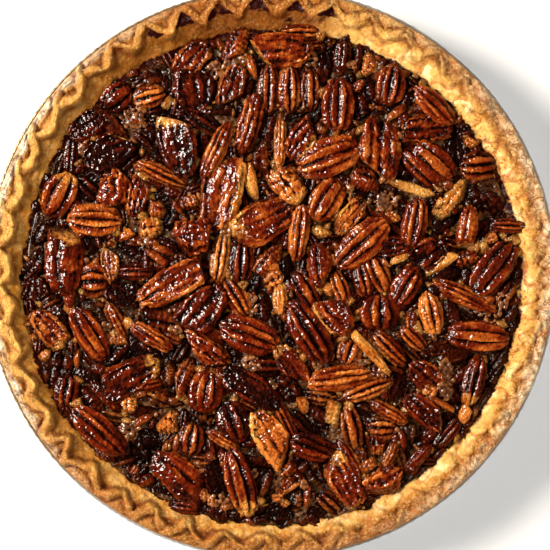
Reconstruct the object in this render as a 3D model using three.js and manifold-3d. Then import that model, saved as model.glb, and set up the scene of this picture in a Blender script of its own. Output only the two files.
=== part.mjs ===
// A whole pecan pie in its own foil tin. Millimetres, +Z up, the origin on the table under its middle.
// The tin holds a pastry shell with a crimped rim, the shell holds the set filling, and pecan halves
// and broken pieces lie on the filling.
import * as THREE from 'three';
import { mergeVertices } from 'three/addons/utils/BufferGeometryUtils.js';
import Module from 'manifold-3d';

const wasm = await Module();
wasm.setup();

// ---- Driving dimensions -------------------------------------------------------------------------
const GAP = 0.3;                // air left between two pieces that touch

const TIN_RADIUS = 124.4;       // outside of the rolled bead
const TIN_BASE_RADIUS = 95.6;   // outside, where the wall starts
const TIN_WALL_RADIUS = 114.4;  // outside, where the wall turns into the flange
const TIN_FLANGE_HEIGHT = 29.8; // underside of the flange
const TIN_BASE_ROUNDING = 1.2;  // between the base and the wall
const FOIL = 0.45;              // wall of the tin
const BEAD_RADIUS = 0.75;
const BEAD_RISE = 1.2;          // middle of the bead over the flange's underside
const TIN_SIDES = 72;

const CRIMPS = 44;
const COLUMNS_PER_CRIMP = 4;
const CRUST_THICKNESS = 4.6;
const RIM_RADIUS = 122.2;       // outer edge of the pastry
const RIM_EDGE_HEIGHT = 33.1;
const RIM_SHOULDER_HEIGHT = 34.5;
const HOLLOW_RADIUS = 119.3;    // the hollow that each crimp leaves behind the ridge
const HOLLOW_SHALLOW = 1.0;     // its depth under the crest at a notch
const HOLLOW_DEEP = 3.3;        // and behind the middle of a lobe
const CREST_HEIGHT = 37.4;      // top of the crimped ridge where it is lowest
const CREST_RISE = 1.2;         // how much higher the ridge stands on the -X side
const RIDGE_WIDTH = 2.4;
const RIDGE_FACE = 1.8;         // height of the ridge's steep inner face
const NOTCH_RADIUS = 117.6;     // inner side of the ridge in a notch
const LOBE_SHALLOW = 2.6;       // how far a lobe bulges inwards on the +X side
const LOBE_DEEP = 4.8;          // and on the -X side
const WALL_RADIUS = 106.5;      // inner wall at the level of the filling
const WALL_SWING = 2.2;         // the wall stands further out on one side by this much
const WALL_SWING_HEADING = -80; // degrees, the side where it stands furthest out
const NOTCH_PLACE = 0.335;      // of a notch from a whole multiple of the pitch, as a share of it
const NOTCH_DRIFT = 0.095;      // how much that grows on the +X side and shrinks on the -X side
const UNEVEN_PLACE = 0.12;      // spread of the notches' places, as a share of the pitch
const UNEVEN_BULGE = 0.45;      // spread of the lobes' depths, as a share of the depth
const UNEVEN_RISE = 1.1;        // spread of the ridge's height
const CRIMP_SEED = 7;

const FILLING_LEVEL = 31;
const FILLING_DIP = 0.7;        // how much lower the filling is along the wall
const FILLING_FLAT_RADIUS = 97; // inside this it is level
const FILLING_SIDES = 66;

const NUT_HEIGHT = 5.4;         // a nut lying flat, above the filling
const NUT_UNEVEN = 0.08;        // how far a point of a nut's section may be from its form, as a share
const NUT_SEED = 20;

// ---- Helpers ------------------------------------------------------------------------------------
const degrees = (angle) => angle * Math.PI / 180;
const lerp = THREE.MathUtils.lerp;

// A repeatable stream of numbers from 0 to 1.
function randomStream(seed) {
  let state = seed;
  return () => {
    state = (state * 1664525 + 1013904223) % 4294967296;
    return state / 4294967296;
  };
}

function merged(geometry) {
  geometry.deleteAttribute('normal');
  geometry.deleteAttribute('uv');
  return mergeVertices(geometry, 1e-4);
}

// A body turned round the Z axis, whose outline may change on its way round. outline(column) gives
// the column's angle and its [radius, height] points, from the axis up the outside and back to the axis.
function turned(sides, outline) {
  const start = outline(0).points.map(([radius, height]) => new THREE.Vector2(radius, height));
  const geometry = new THREE.LatheGeometry(start, sides);
  const position = geometry.getAttribute('position');
  for (let column = 0; column <= sides; column += 1) {
    const { angle, points } = outline(column % sides);
    points.forEach(([radius, height], row) => {
      const x = radius * Math.cos(angle);
      const y = radius * Math.sin(angle);
      position.setXYZ(column * points.length + row, x, y, height);
    });
  }
  return merged(geometry);
}

function toSolid(geometry) {
  const whole = merged(geometry.clone());
  return new wasm.Manifold(new wasm.Mesh({
    numProp: 3,
    vertProperties: new Float32Array(whole.getAttribute('position').array),
    triVerts: new Uint32Array(whole.getIndex().array),
  }));
}

function toGeometry(solid) {
  const mesh = solid.getMesh();
  const geometry = new THREE.BufferGeometry();
  geometry.setAttribute('position', new THREE.BufferAttribute(mesh.vertProperties, 3));
  geometry.setIndex(new THREE.BufferAttribute(mesh.triVerts, 1));
  return geometry;
}

function addMesh(group, name, geometry, material) {
  geometry.computeVertexNormals();
  const mesh = new THREE.Mesh(geometry, material);
  mesh.name = name;
  group.add(mesh);
  return mesh;
}

// ---- The tin: a flat base, a flared wall, a narrow flange and a rolled bead ------------------------
function beadPoint(turn) {
  return [
    TIN_RADIUS - BEAD_RADIUS + BEAD_RADIUS * Math.cos(degrees(turn)),
    TIN_FLANGE_HEIGHT + BEAD_RISE + BEAD_RADIUS * Math.sin(degrees(turn)),
  ];
}

function tinOutline(column) {
  const points = [
    [0, 0],
    [TIN_BASE_RADIUS - TIN_BASE_ROUNDING, 0],
    [TIN_BASE_RADIUS, 0.75 * TIN_BASE_ROUNDING],
    [TIN_WALL_RADIUS, TIN_FLANGE_HEIGHT],
    beadPoint(-80),
    beadPoint(0),
    beadPoint(80),
    beadPoint(160),
    [TIN_WALL_RADIUS - FOIL, TIN_FLANGE_HEIGHT + FOIL],
    [TIN_BASE_RADIUS - FOIL, TIN_BASE_ROUNDING],
    [TIN_BASE_RADIUS - TIN_BASE_ROUNDING - FOIL / 2, FOIL],
    [0, FOIL],
  ];
  return { angle: 2 * Math.PI * column / TIN_SIDES, points };
}

// ---- The pastry shell -------------------------------------------------------------------------------
const crimpRandom = randomStream(CRIMP_SEED);
const crimps = Array.from({ length: CRIMPS }, () => ({
  shift: UNEVEN_PLACE * (crimpRandom() - 0.5),
  bulge: 1 + UNEVEN_BULGE * (crimpRandom() - 0.5),
  rise: UNEVEN_RISE * (crimpRandom() - 0.5),
}));

// 1 on the -X side of the pie, where the lobes are deep and round, and 0 on the +X side.
const leftness = (angle) => 0.5 - 0.5 * Math.cos(angle);

// The inner wall at the level of the filling isn't quite centred on the tin.
const wallRadius = (angle) =>
  WALL_RADIUS + WALL_SWING * Math.cos(angle - degrees(WALL_SWING_HEADING));

// Column 0 of each crimp is its notch, and its middle column the middle of its lobe.
function crustOutline(column) {
  const crimp = Math.floor(column / COLUMNS_PER_CRIMP);
  const phase = (column % COLUMNS_PER_CRIMP) / COLUMNS_PER_CRIMP;
  const here = crimps[crimp];
  const next = crimps[(crimp + 1) % CRIMPS];
  const plain = 2 * Math.PI * (crimp + phase) / CRIMPS;
  const place = NOTCH_PLACE + NOTCH_DRIFT * Math.cos(plain);
  const shift = place + lerp(here.shift, next.shift, phase);
  const angle = plain + 2 * Math.PI * shift / CRIMPS;
  const lobe = Math.sin(Math.PI * phase) ** 0.8;
  const bulge = lerp(LOBE_SHALLOW, LOBE_DEEP, leftness(angle)) * here.bulge;
  const ridge = NOTCH_RADIUS - bulge * lobe;
  const crest = CREST_HEIGHT + CREST_RISE * leftness(angle) + lerp(here.rise, next.rise, phase);
  const hollow = THREE.MathUtils.clamp(ridge + 1.6 * RIDGE_WIDTH, HOLLOW_RADIUS, RIM_RADIUS - 1.5);
  const underside = FOIL + GAP;
  const flangeTop = TIN_FLANGE_HEIGHT + FOIL + GAP;
  const points = [
    [0, underside],
    [TIN_BASE_RADIUS - 1.8, underside],
    [TIN_WALL_RADIUS - 1, flangeTop + 0.1],
    [RIM_RADIUS - 0.4, flangeTop + 1.05],
    [RIM_RADIUS, RIM_EDGE_HEIGHT],
    [RIM_RADIUS - 1.1, RIM_SHOULDER_HEIGHT],
    [hollow, crest - lerp(HOLLOW_SHALLOW, HOLLOW_DEEP, lobe)],
    [ridge + RIDGE_WIDTH, crest - 0.2],
    [ridge + RIDGE_WIDTH / 3, crest],
    [ridge, crest - RIDGE_FACE],
    [wallRadius(angle), FILLING_LEVEL - 2 * FILLING_DIP],
    [TIN_BASE_RADIUS - CRUST_THICKNESS, underside + CRUST_THICKNESS],
    [0, underside + CRUST_THICKNESS],
  ];
  return { angle, points };
}

// ---- The filling: level, with a lower edge along the wall -----------------------------------------------
function fillingOutline(column) {
  const angle = 2 * Math.PI * column / FILLING_SIDES;
  const underside = FOIL + CRUST_THICKNESS + 2 * GAP;
  const edge = wallRadius(angle) - 1.5 * GAP;
  const points = [
    [0, underside],
    [TIN_BASE_RADIUS - CRUST_THICKNESS - 2 * GAP, underside],
    [edge, FILLING_LEVEL - 2 * FILLING_DIP],
    [edge - FILLING_DIP, FILLING_LEVEL - FILLING_DIP],
    [FILLING_FLAT_RADIUS, FILLING_LEVEL],
    [0, FILLING_LEVEL],
  ];
  return { angle, points };
}

// ---- The pecans ---------------------------------------------------------------------------------------
// A pecan half is long and domed, with furrows along it. Each form lists its section across, from one
// foot over the top to the other, as [across, up] in half widths and heights.
const FORMS = {
  ridged: [[-1, 0], [-0.82, 0.7], [-0.36, 0.66], [0, 1], [0.36, 0.66], [0.82, 0.7], [1, 0]],
  hollow: [[-1, 0], [-0.94, 0.86], [-0.44, 0.5], [0, 0.92], [0.44, 0.5], [0.94, 0.86], [1, 0]],
  side: [[-1, 0], [-0.9, 0.55], [-0.5, 1], [-0.05, 0.7], [0.35, 0.92], [0.85, 0.5], [1, 0]],
  broken: [[-1, 0], [-0.95, 0.75], [-0.5, 0.95], [0.1, 0.8], [0.5, 1], [0.95, 0.6], [1, 0]],
};
// Stations along its length: [place in half lengths, share of the width, share of the height].
const WHOLE_NUT = [
  [-1, 0, 0.3], [-0.78, 0.66, 0.7], [-0.28, 1, 1], [0.3, 0.97, 1], [0.8, 0.6, 0.72], [1, 0, 0.3],
];
const BROKEN_NUT = [
  [-1, 0, 0.4], [-0.9, 0.8, 0.8], [-0.3, 1, 1], [0.35, 0.9, 0.85], [0.9, 0.7, 0.7], [1, 0, 0.4],
];

// Each nut: the place of its middle, its length and width, its heading in degrees from +X, its form and
// its height as a share of NUT_HEIGHT. A nut is cut where one before it in the list lies over it.
const NUTS = [
  // the middle of the pie
  { x: -3.5, y: 23.1, long: 28.0, wide: 16.6, turn: 27, form: 'hollow', tall: 1.1 },
  { x: -21.8, y: 35.0, long: 31.0, wide: 17.6, turn: 78, form: 'hollow', tall: 1.1 },
  { x: 24.6, y: 50.5, long: 26.5, wide: 16.6, turn: 20, form: 'ridged', tall: 1.15 },
  { x: 39.2, y: 13.1, long: 27.0, wide: 14.8, turn: 42, form: 'ridged', tall: 1.1 },
  { x: -43.9, y: -4.8, long: 29.0, wide: 13.2, turn: 28, form: 'hollow', tall: 1.1 },
  { x: -9.6, y: -26.5, long: 25.0, wide: 14.6, turn: -20, form: 'ridged', tall: 1.1 },
  { x: 16.4, y: -25.2, long: 28.0, wide: 13.8, turn: -58, form: 'ridged', tall: 1.15 },
  { x: -29.6, y: -14.8, long: 22.6, wide: 15.6, turn: 50, form: 'hollow', tall: 1.0 },
  { x: 12.2, y: 17.8, long: 22.6, wide: 8.6, turn: 83, form: 'ridged', tall: 1.0 },
  { x: 21.3, y: 3.5, long: 18.6, wide: 10.8, turn: 95, form: 'side', tall: 1.0 },
  { x: 24.4, y: 32.2, long: 19.0, wide: 13.8, turn: 58, form: 'ridged', tall: 1.05 },
  { x: 7.4, y: 38.0, long: 18.4, wide: 11.4, turn: -52, form: 'broken', tall: 1.05 },
  { x: -34.6, y: 15.7, long: 16.4, wide: 15.0, turn: 8, form: 'broken', tall: 1.0 },
  { x: 27.4, y: -18.0, long: 18.4, wide: 13.6, turn: -50, form: 'hollow', tall: 1.0 },
  // the ring about two thirds of the way out, from +X round
  { x: 62.2, y: 21.8, long: 20.6, wide: 10.8, turn: 80, form: 'ridged', tall: 1.0 },
  { x: 47.0, y: 54.8, long: 25.4, wide: 17.2, turn: 88, form: 'hollow', tall: 1.15 },
  { x: 70.9, y: 48.7, long: 19.4, wide: 13.8, turn: -42, form: 'ridged', tall: 1.0 },
  { x: 29.1, y: 73.5, long: 21.2, wide: 13.6, turn: 87, form: 'ridged', tall: 1.05 },
  { x: 13.5, y: 58.3, long: 18.4, wide: 11.4, turn: 55, form: 'hollow', tall: 1.0 },
  { x: -9.6, y: 64.4, long: 26.0, wide: 9.8, turn: 75, form: 'side', tall: 1.0 },
  { x: -23.8, y: 53.4, long: 26.0, wide: 8.4, turn: 65, form: 'side', tall: 1.05 },
  { x: -40.5, y: 55.2, long: 26.4, wide: 15.6, turn: 103, form: 'hollow', tall: 1.1 },
  { x: -70.9, y: 53.1, long: 21.2, wide: 14.8, turn: 28, form: 'hollow', tall: 1.0 },
  { x: -67.0, y: 37.0, long: 16.8, wide: 13.8, turn: 80, form: 'broken', tall: 1.0 },
  { x: -76.6, y: 23.5, long: 22.0, wide: 13.6, turn: -3, form: 'ridged', tall: 1.0 },
  { x: -78.7, y: -26.1, long: 24.0, wide: 12.0, turn: -58, form: 'ridged', tall: 1.05 },
  { x: -52.2, y: -27.0, long: 20.4, wide: 7.6, turn: -32, form: 'side', tall: 0.95 },
  { x: -28.7, y: -33.1, long: 22.6, wide: 10.6, turn: -35, form: 'broken', tall: 0.95 },
  { x: -60.9, y: -44.8, long: 26.4, wide: 14.2, turn: 28, form: 'hollow', tall: 1.05 },
  { x: -28.3, y: -51.3, long: 16.4, wide: 14.4, turn: 80, form: 'ridged', tall: 1.0 },
  { x: -8.3, y: -49.6, long: 27.6, wide: 11.8, turn: -30, form: 'hollow', tall: 1.05 },
  { x: 8.9, y: -39.6, long: 20.0, wide: 9.8, turn: -55, form: 'hollow', tall: 0.95 },
  { x: 30.0, y: -45.2, long: 26.4, wide: 10.8, turn: 8, form: 'ridged', tall: 1.05 },
  { x: 42.8, y: -34.2, long: 24.0, wide: 5.2, turn: -48, form: 'side', tall: 1.1 },
  { x: 47.4, y: -16.5, long: 16.8, wide: 14.2, turn: 5, form: 'broken', tall: 1.0 },
  { x: 58.3, y: -5.7, long: 18.4, wide: 11.4, turn: 60, form: 'ridged', tall: 1.0 },
  { x: 69.6, y: -16.8, long: 17.6, wide: 9.8, turn: -78, form: 'ridged', tall: 1.0 },
  { x: -16.5, y: -64.2, long: 17.2, wide: 14.0, turn: -70, form: 'ridged', tall: 1.0 },
  { x: 17.4, y: -75.3, long: 17.6, wide: 11.6, turn: -20, form: 'ridged', tall: 1.0 },
  { x: 66.8, y: -59.6, long: 20.4, wide: 10.0, turn: -40, form: 'hollow', tall: 1.0 },
  // along the crust, from +X round
  { x: 96.6, y: 2.6, long: 25.6, wide: 14.6, turn: 52, form: 'ridged', tall: 1.1 },
  { x: 85.5, y: 20.6, long: 18.0, wide: 9.0, turn: 82, form: 'side', tall: 0.95 },
  { x: 84.0, y: -9.6, long: 28.0, wide: 7.8, turn: -25, form: 'side', tall: 1.0 },
  { x: 70.8, y: 73.0, long: 21.4, wide: 10.0, turn: -45, form: 'ridged', tall: 1.0 },
  { x: 52.0, y: 82.0, long: 16.0, wide: 12.4, turn: 80, form: 'ridged', tall: 0.95 },
  { x: 4.8, y: 97.0, long: 25.0, wide: 14.4, turn: 0, form: 'broken', tall: 1.0 },
  { x: -33.5, y: 80.0, long: 19.4, wide: 17.0, turn: 88, form: 'hollow', tall: 1.05 },
  { x: -92.2, y: 34.2, long: 19.4, wide: 14.6, turn: 62, form: 'ridged', tall: 1.0 },
  { x: -89.8, y: 5.6, long: 28.0, wide: 17.0, turn: 88, form: 'side', tall: 1.05 },
  { x: -74.4, y: -68.6, long: 28.0, wide: 12.4, turn: -42, form: 'ridged', tall: 1.05 },
  { x: -39.4, y: -88.2, long: 27.4, wide: 15.4, turn: -40, form: 'side', tall: 1.05 },
  { x: -13.6, y: -90.6, long: 28.0, wide: 12.4, turn: -75, form: 'ridged', tall: 1.1 },
  { x: 0.0, y: -71.0, long: 25.6, wide: 13.2, turn: -58, form: 'hollow', tall: 1.1 },
  { x: 31.3, y: -89.0, long: 24.0, wide: 12.4, turn: -60, form: 'hollow', tall: 1.05 },
  { x: 49.0, y: -90.2, long: 20.0, wide: 11.4, turn: 28, form: 'broken', tall: 0.95 },
  { x: 88.2, y: -46.4, long: 20.8, wide: 9.6, turn: 76, form: 'ridged', tall: 1.0 },
  { x: 89.6, y: -27.0, long: 25.0, wide: 13.4, turn: -5, form: 'ridged', tall: 1.1 },
];

const NUT_AROUND = FORMS.ridged.length;
const NUT_ALONG = WHOLE_NUT.length - 1;
const NUT_FOOT = FILLING_LEVEL + GAP;

// One nut in its own frame, lying along X with its foot at z = 0. With grow it is that much bigger all
// round, so that the same call also makes the tool that cuts a clearance for it.
function nutGeometry(nut, grow) {
  const geometry = new THREE.SphereGeometry(1, NUT_AROUND, NUT_ALONG);
  const position = geometry.getAttribute('position');
  const stations = nut.form === 'broken' ? BROKEN_NUT : WHOLE_NUT;
  const random = randomStream(NUT_SEED + Math.round(10 * Math.abs(nut.x + nut.y)));
  const uneven = FORMS[nut.form].map(() => lerp(1 - NUT_UNEVEN, 1 + NUT_UNEVEN, random()));
  const height = NUT_HEIGHT * nut.tall + grow;
  for (let row = 0; row < stations.length; row += 1) {
    const [place, narrow, low] = stations[row];
    for (let column = 0; column <= NUT_AROUND; column += 1) {
      const k = column % NUT_AROUND;
      const [across, up] = FORMS[nut.form][k];
      const tip = narrow === 0;
      const share = tip ? 0.5 : up * uneven[(row + k) % NUT_AROUND];
      const foot = up === 0 && !tip ? grow : 0;
      position.setXYZ(row * (NUT_AROUND + 1) + column,
        place * (nut.long / 2 + grow),
        across * narrow * (nut.wide / 2 + grow),
        share * low * height - foot);
    }
  }
  return geometry;
}

function nutMatrix(nut) {
  const matrix = new THREE.Matrix4().makeRotationZ(degrees(nut.turn));
  return matrix.setPosition(nut.x, nut.y, NUT_FOOT);
}

// The nut as a solid, less the nuts that lie over it. What a cut leaves loose is dropped.
function nutBody(nut, over) {
  let body = toSolid(nutGeometry(nut, 0));
  const home = nutMatrix(nut).invert();
  for (const other of over) {
    if (Math.hypot(other.x - nut.x, other.y - nut.y) < (other.long + nut.long) / 2) {
      const tool = nutGeometry(other, GAP);
      tool.applyMatrix4(home.clone().multiply(nutMatrix(other)));
      body = body.subtract(toSolid(tool));
    }
  }
  const pieces = body.decompose();
  pieces.sort((a, b) => b.volume() - a.volume());
  return toGeometry(pieces[0]);
}

// ---- Assembly --------------------------------------------------------------------------------------------
const pie = new THREE.Group();
const foil = new THREE.MeshStandardMaterial({ color: 0xc9c9c4, roughness: 0.35, metalness: 1 });
const pastry = new THREE.MeshStandardMaterial({ color: 0xd9a45a, roughness: 0.75, metalness: 0 });
const syrup = new THREE.MeshStandardMaterial({ color: 0x2b1408, roughness: 0.3, metalness: 0 });

addMesh(pie, 'tin', turned(TIN_SIDES, tinOutline), foil);
addMesh(pie, 'crust', turned(CRIMPS * COLUMNS_PER_CRIMP, crustOutline), pastry);
addMesh(pie, 'filling', turned(FILLING_SIDES, fillingOutline), syrup);

const toasted = new THREE.Color(0x6a2c12);
const bright = new THREE.Color(0xa8501f);
const nutRandom = randomStream(NUT_SEED);
NUTS.forEach((nut, index) => {
  const color = toasted.clone().lerp(bright, nutRandom());
  const material = new THREE.MeshStandardMaterial({ color, roughness: 0.4, metalness: 0 });
  const name = `pecan_${String(index + 1).padStart(2, '0')}`;
  const mesh = addMesh(pie, name, nutBody(nut, NUTS.slice(0, index)), material);
  mesh.position.set(nut.x, nut.y, NUT_FOOT);
  mesh.rotation.z = degrees(nut.turn);
});

export default pie;
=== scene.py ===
# %% [markdown]
# # A pecan pie in its foil tin
# The pie is a pastry shell with a crimped rim, a dark set filling, and pecan halves lying on it. Its
# size and the place of every large nut come from the frame, which is loaded first and never changed.
# Each visible piece below takes the place of a plain solid of that frame, or lies between two of them.

# %% Load the frame
import math
import random

import bmesh
import bpy
import numpy as np
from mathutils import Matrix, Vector, noise
from mathutils.kdtree import KDTree


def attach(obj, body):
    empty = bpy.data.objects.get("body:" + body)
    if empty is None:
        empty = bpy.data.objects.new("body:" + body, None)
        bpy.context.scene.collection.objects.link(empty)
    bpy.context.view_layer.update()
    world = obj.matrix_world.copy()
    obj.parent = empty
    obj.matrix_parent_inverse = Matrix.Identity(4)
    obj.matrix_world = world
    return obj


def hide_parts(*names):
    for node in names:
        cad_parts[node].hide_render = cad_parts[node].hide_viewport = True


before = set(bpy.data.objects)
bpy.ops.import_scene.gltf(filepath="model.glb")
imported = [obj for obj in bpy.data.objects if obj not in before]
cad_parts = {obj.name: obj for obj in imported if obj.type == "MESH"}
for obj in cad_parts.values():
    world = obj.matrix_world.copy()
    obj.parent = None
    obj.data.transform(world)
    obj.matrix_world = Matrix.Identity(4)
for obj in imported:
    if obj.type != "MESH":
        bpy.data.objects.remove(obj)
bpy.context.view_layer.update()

MM = 0.001

# %% [markdown]
# ## Working by hand in code
# Every Blender operator works on what is selected. So one helper leaves a single object selected, one
# picks vertices by their place while in edit mode, and one applies the modifiers in their order.


# %% Helpers for selecting and applying
def only(obj):
    """Selects this object and nothing else."""
    bpy.ops.object.select_all(action="DESELECT")
    obj.select_set(True)
    bpy.context.view_layer.objects.active = obj


def edit(obj):
    only(obj)
    bpy.ops.object.mode_set(mode="EDIT")
    bpy.ops.mesh.select_all(action="DESELECT")


def done():
    bpy.ops.object.mode_set(mode="OBJECT")


def pick(obj, test):
    """In edit mode, selects the vertices whose place passes the test."""
    bpy.ops.mesh.select_all(action="DESELECT")
    mesh = bmesh.from_edit_mesh(obj.data)
    for vertex in mesh.verts:
        vertex.select = bool(test(vertex.co))
    mesh.select_flush(True)
    bmesh.update_edit_mesh(obj.data)


def apply_modifiers(obj):
    only(obj)
    for modifier in list(obj.modifiers):
        bpy.ops.object.modifier_apply(modifier=modifier.name)


def shade_smooth(obj):
    only(obj)
    bpy.ops.object.shade_smooth()


def triangles(obj):
    return sum(len(face.vertices) - 2 for face in obj.data.polygons)


bpy.ops.object.select_all(action="DESELECT")

# %% [markdown]
# What varies from place to place, such as a height or a browning, is worked out for all vertices of a
# piece at once, as an array. The brush for it is a soft step from 0 to 1, and two of them make a band.


# %% Helpers for all vertices at once
def places(obj):
    """The vertices' places as an array of x, y, z rows."""
    flat = np.empty(len(obj.data.vertices) * 3)
    obj.data.vertices.foreach_get("co", flat)
    return flat.reshape(-1, 3)


def put_places(obj, array):
    obj.data.vertices.foreach_set("co", array.ravel())
    obj.data.update()


def put_values(obj, name, values):
    """Stores one number for each vertex, which a material can read by its name."""
    layer = obj.data.attributes.get(name) or obj.data.attributes.new(name, "FLOAT", "POINT")
    layer.data.foreach_set("value", np.asarray(values, np.float32))


def put_vectors(obj, name, array):
    layer = obj.data.attributes.get(name) or obj.data.attributes.new(name, "FLOAT_VECTOR", "POINT")
    layer.data.foreach_set("vector", np.asarray(array, np.float32).ravel())


def polar(co):
    """How far each point is from the middle of the pie, and at which angle round it."""
    return np.hypot(co[:, 0], co[:, 1]), np.arctan2(co[:, 1], co[:, 0])


def degrees_from(angle, heading):
    """How many degrees an angle in radians lies from a heading in degrees."""
    return np.abs((np.degrees(angle) - heading + 180) % 360 - 180)


def smoothstep(low, high, value):
    t = np.clip((value - low) / (high - low), 0, 1)
    return t * t * (3 - 2 * t)


def band(start, full, fade, end, value):
    """0 up to start, 1 from full to fade, and 0 again from end on."""
    return smoothstep(start, full, value) * smoothstep(end, fade, value)


# %% [markdown]
# ## Camera, light and floor
# The camera looks straight down from a metre up through a long lens, so the rim stays round. One large
# soft lamp stands low on the left, which gives every furrow a bright and a dark side. A wide one on the
# right opens the shadows. The syrup doesn't mirror it, as a matt white card is too dim to be seen there.

# %% Camera
FILLING_LEVEL = 31 * MM
VIEW_WIDTH = 239.25 * MM          # what the square frame takes in at the height of the filling
VIEW_MIDDLE = (1.74 * MM, -0.44 * MM)
CAMERA_HEIGHT = 1.1               # above the filling
SENSOR = 36

bpy.ops.object.camera_add(location=(*VIEW_MIDDLE, FILLING_LEVEL + CAMERA_HEIGHT), rotation=(0, 0, 0))
camera = bpy.context.object
camera.data.sensor_width = SENSOR
camera.data.lens = SENSOR * CAMERA_HEIGHT / VIEW_WIDTH
camera.data.clip_start = 0.05
bpy.context.scene.camera = camera
print("lens in mm:", round(camera.data.lens, 1))

# %% Lamps and floor
LIT_PLACE = Vector((0, 0, 30 * MM))


def lamp(name, place, size, watts, colour):
    """A soft square lamp that faces the pie."""
    bpy.ops.object.light_add(type="AREA", location=place)
    made = bpy.context.object
    made.name = name
    made.data.shape = "SQUARE"
    made.data.size = size
    made.data.energy = watts
    made.data.color = colour
    made.rotation_euler = (LIT_PLACE - Vector(place)).to_track_quat("-Z", "Y").to_euler()
    return made


lamp("window", (-0.95, 0.30, 0.88), size=0.52, watts=35, colour=(1.0, 0.93, 0.82))
bounce = lamp("bounce", (0.9, -0.4, 1.1), size=1.2, watts=14, colour=(1.0, 0.98, 0.96))
bounce.visible_glossy = False

bpy.context.scene.view_settings.view_transform = "Standard"

bpy.ops.mesh.primitive_plane_add(size=3, location=(0, 0, 0))
floor = bpy.context.object
floor.name = "floor"
floor_finish = bpy.data.materials.new("floor")
floor_finish.use_nodes = True
floor_shader = floor_finish.node_tree.nodes["Principled BSDF"]
floor_shader.inputs["Base Color"].default_value = (0.93, 0.93, 0.925, 1)
floor_shader.inputs["Roughness"].default_value = 0.6
floor.data.materials.append(floor_finish)

# %% [markdown]
# ## Nodes for the finishes
# A material is a small network of nodes. These helpers make a material, add a node with its values and
# wire it, so that each finish below reads as a short recipe. Most lines of a finish are layers of paint:
# blend lays a colour over what is there, as thickly as a mask says.


# %% Helpers for materials
class Recipe:
    """The node tree of a material or of a node group, with short ways to add to it."""

    def __init__(self, tree):
        self.tree = tree

    def set(self, socket, value):
        if isinstance(value, bpy.types.NodeSocket):
            self.tree.links.new(value, socket)
        elif isinstance(value, tuple) and len(value) == 3 and socket.type == "RGBA":
            socket.default_value = (*value, 1)
        else:
            socket.default_value = value

    def fill(self, node, values):
        """Sets a node's inputs, each to a number, a colour or another node's output."""
        for name, value in values.items():
            self.set(node.inputs[name], value)

    def node(self, kind, values=None, **settings):
        """Adds a node with these inputs and settings."""
        made = self.tree.nodes.new(kind)
        for name, value in settings.items():
            setattr(made, name, value)
        self.fill(made, values or {})
        return made

    def place(self):
        return self.node("ShaderNodeTexCoord").outputs["Object"]

    def height(self):
        return self.node("ShaderNodeSeparateXYZ", {"Vector": self.place()}).outputs["Z"]

    def number(self, name, strength=1):
        """A number that each vertex carries, times a strength."""
        value = self.node("ShaderNodeAttribute", attribute_name=name).outputs["Fac"]
        return value if strength == 1 else self.times(value, strength)

    def vector(self, name):
        """Three numbers that each vertex carries."""
        return self.node("ShaderNodeAttribute", attribute_name=name).outputs["Vector"]

    def stretched(self, vector, by):
        return self.node("ShaderNodeVectorMath", {0: vector, 1: by}, operation="MULTIPLY").outputs[0]

    def maths(self, operation, first, second=0.5):
        return self.node("ShaderNodeMath", {0: first, 1: second}, operation=operation).outputs[0]

    def times(self, first, second):
        return self.maths("MULTIPLY", first, second)

    def plus(self, first, second):
        return self.maths("ADD", first, second)

    def ramp(self, value, low, high, first=0.0, last=1.0):
        """Turns low to high into first to last, and stops there."""
        made = self.node("ShaderNodeMapRange", {
            "Value": value, "From Min": low, "From Max": high, "To Min": first, "To Max": last})
        return made.outputs["Result"]

    def grainy(self, vector, scale, detail, rough):
        made = self.node("ShaderNodeTexNoise", {
            "Vector": vector, "Scale": scale, "Detail": detail, "Roughness": rough})
        return made.outputs["Fac"]

    def noise(self, scale, detail=3.0, rough=0.55):
        return self.grainy(self.place(), scale, detail, rough)

    def blend(self, share, first, second):
        """first where share is 0 and second where it is 1."""
        made = self.node("ShaderNodeMix", data_type="RGBA")
        self.set(made.inputs[0], share)
        self.set(made.inputs[6], first)
        self.set(made.inputs[7], second)
        return made.outputs[2]

    def bump(self, height, distance, strength=1.0):
        """A normal as if the surface stood out by the height, of which 1 is this distance in metres."""
        made = self.node("ShaderNodeBump", {"Strength": strength, "Distance": distance, "Height": height})
        return made.outputs["Normal"]


def new_finish(name):
    material = bpy.data.materials.new(name)
    material.use_nodes = True
    recipe = Recipe(material.node_tree)
    return material, recipe, material.node_tree.nodes["Principled BSDF"]


def new_group(name, inputs, outputs):
    """A node group whose sockets are named numbers and colours."""
    tree = bpy.data.node_groups.new(name, "ShaderNodeTree")
    for socket, kind, value in inputs:
        made = tree.interface.new_socket(name=socket, in_out="INPUT", socket_type=kind)
        made.default_value = value
    for socket, kind in outputs:
        tree.interface.new_socket(name=socket, in_out="OUTPUT", socket_type=kind)
    recipe = Recipe(tree)
    return tree, recipe, recipe.node("NodeGroupInput"), recipe.node("NodeGroupOutput")


# %% [markdown]
# ## The room
# Walls are brighter than a ceiling, and the wall with the window is the brightest. So the room's light
# falls off towards straight up and towards the right. Level syrup then mirrors the dark ceiling and
# looks black, and only its slopes catch light. A polarising filter takes most of the room's mirror image
# off the syrup, so that its colour shows. Here the room is dimmer for rays that were mirrored.

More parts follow.
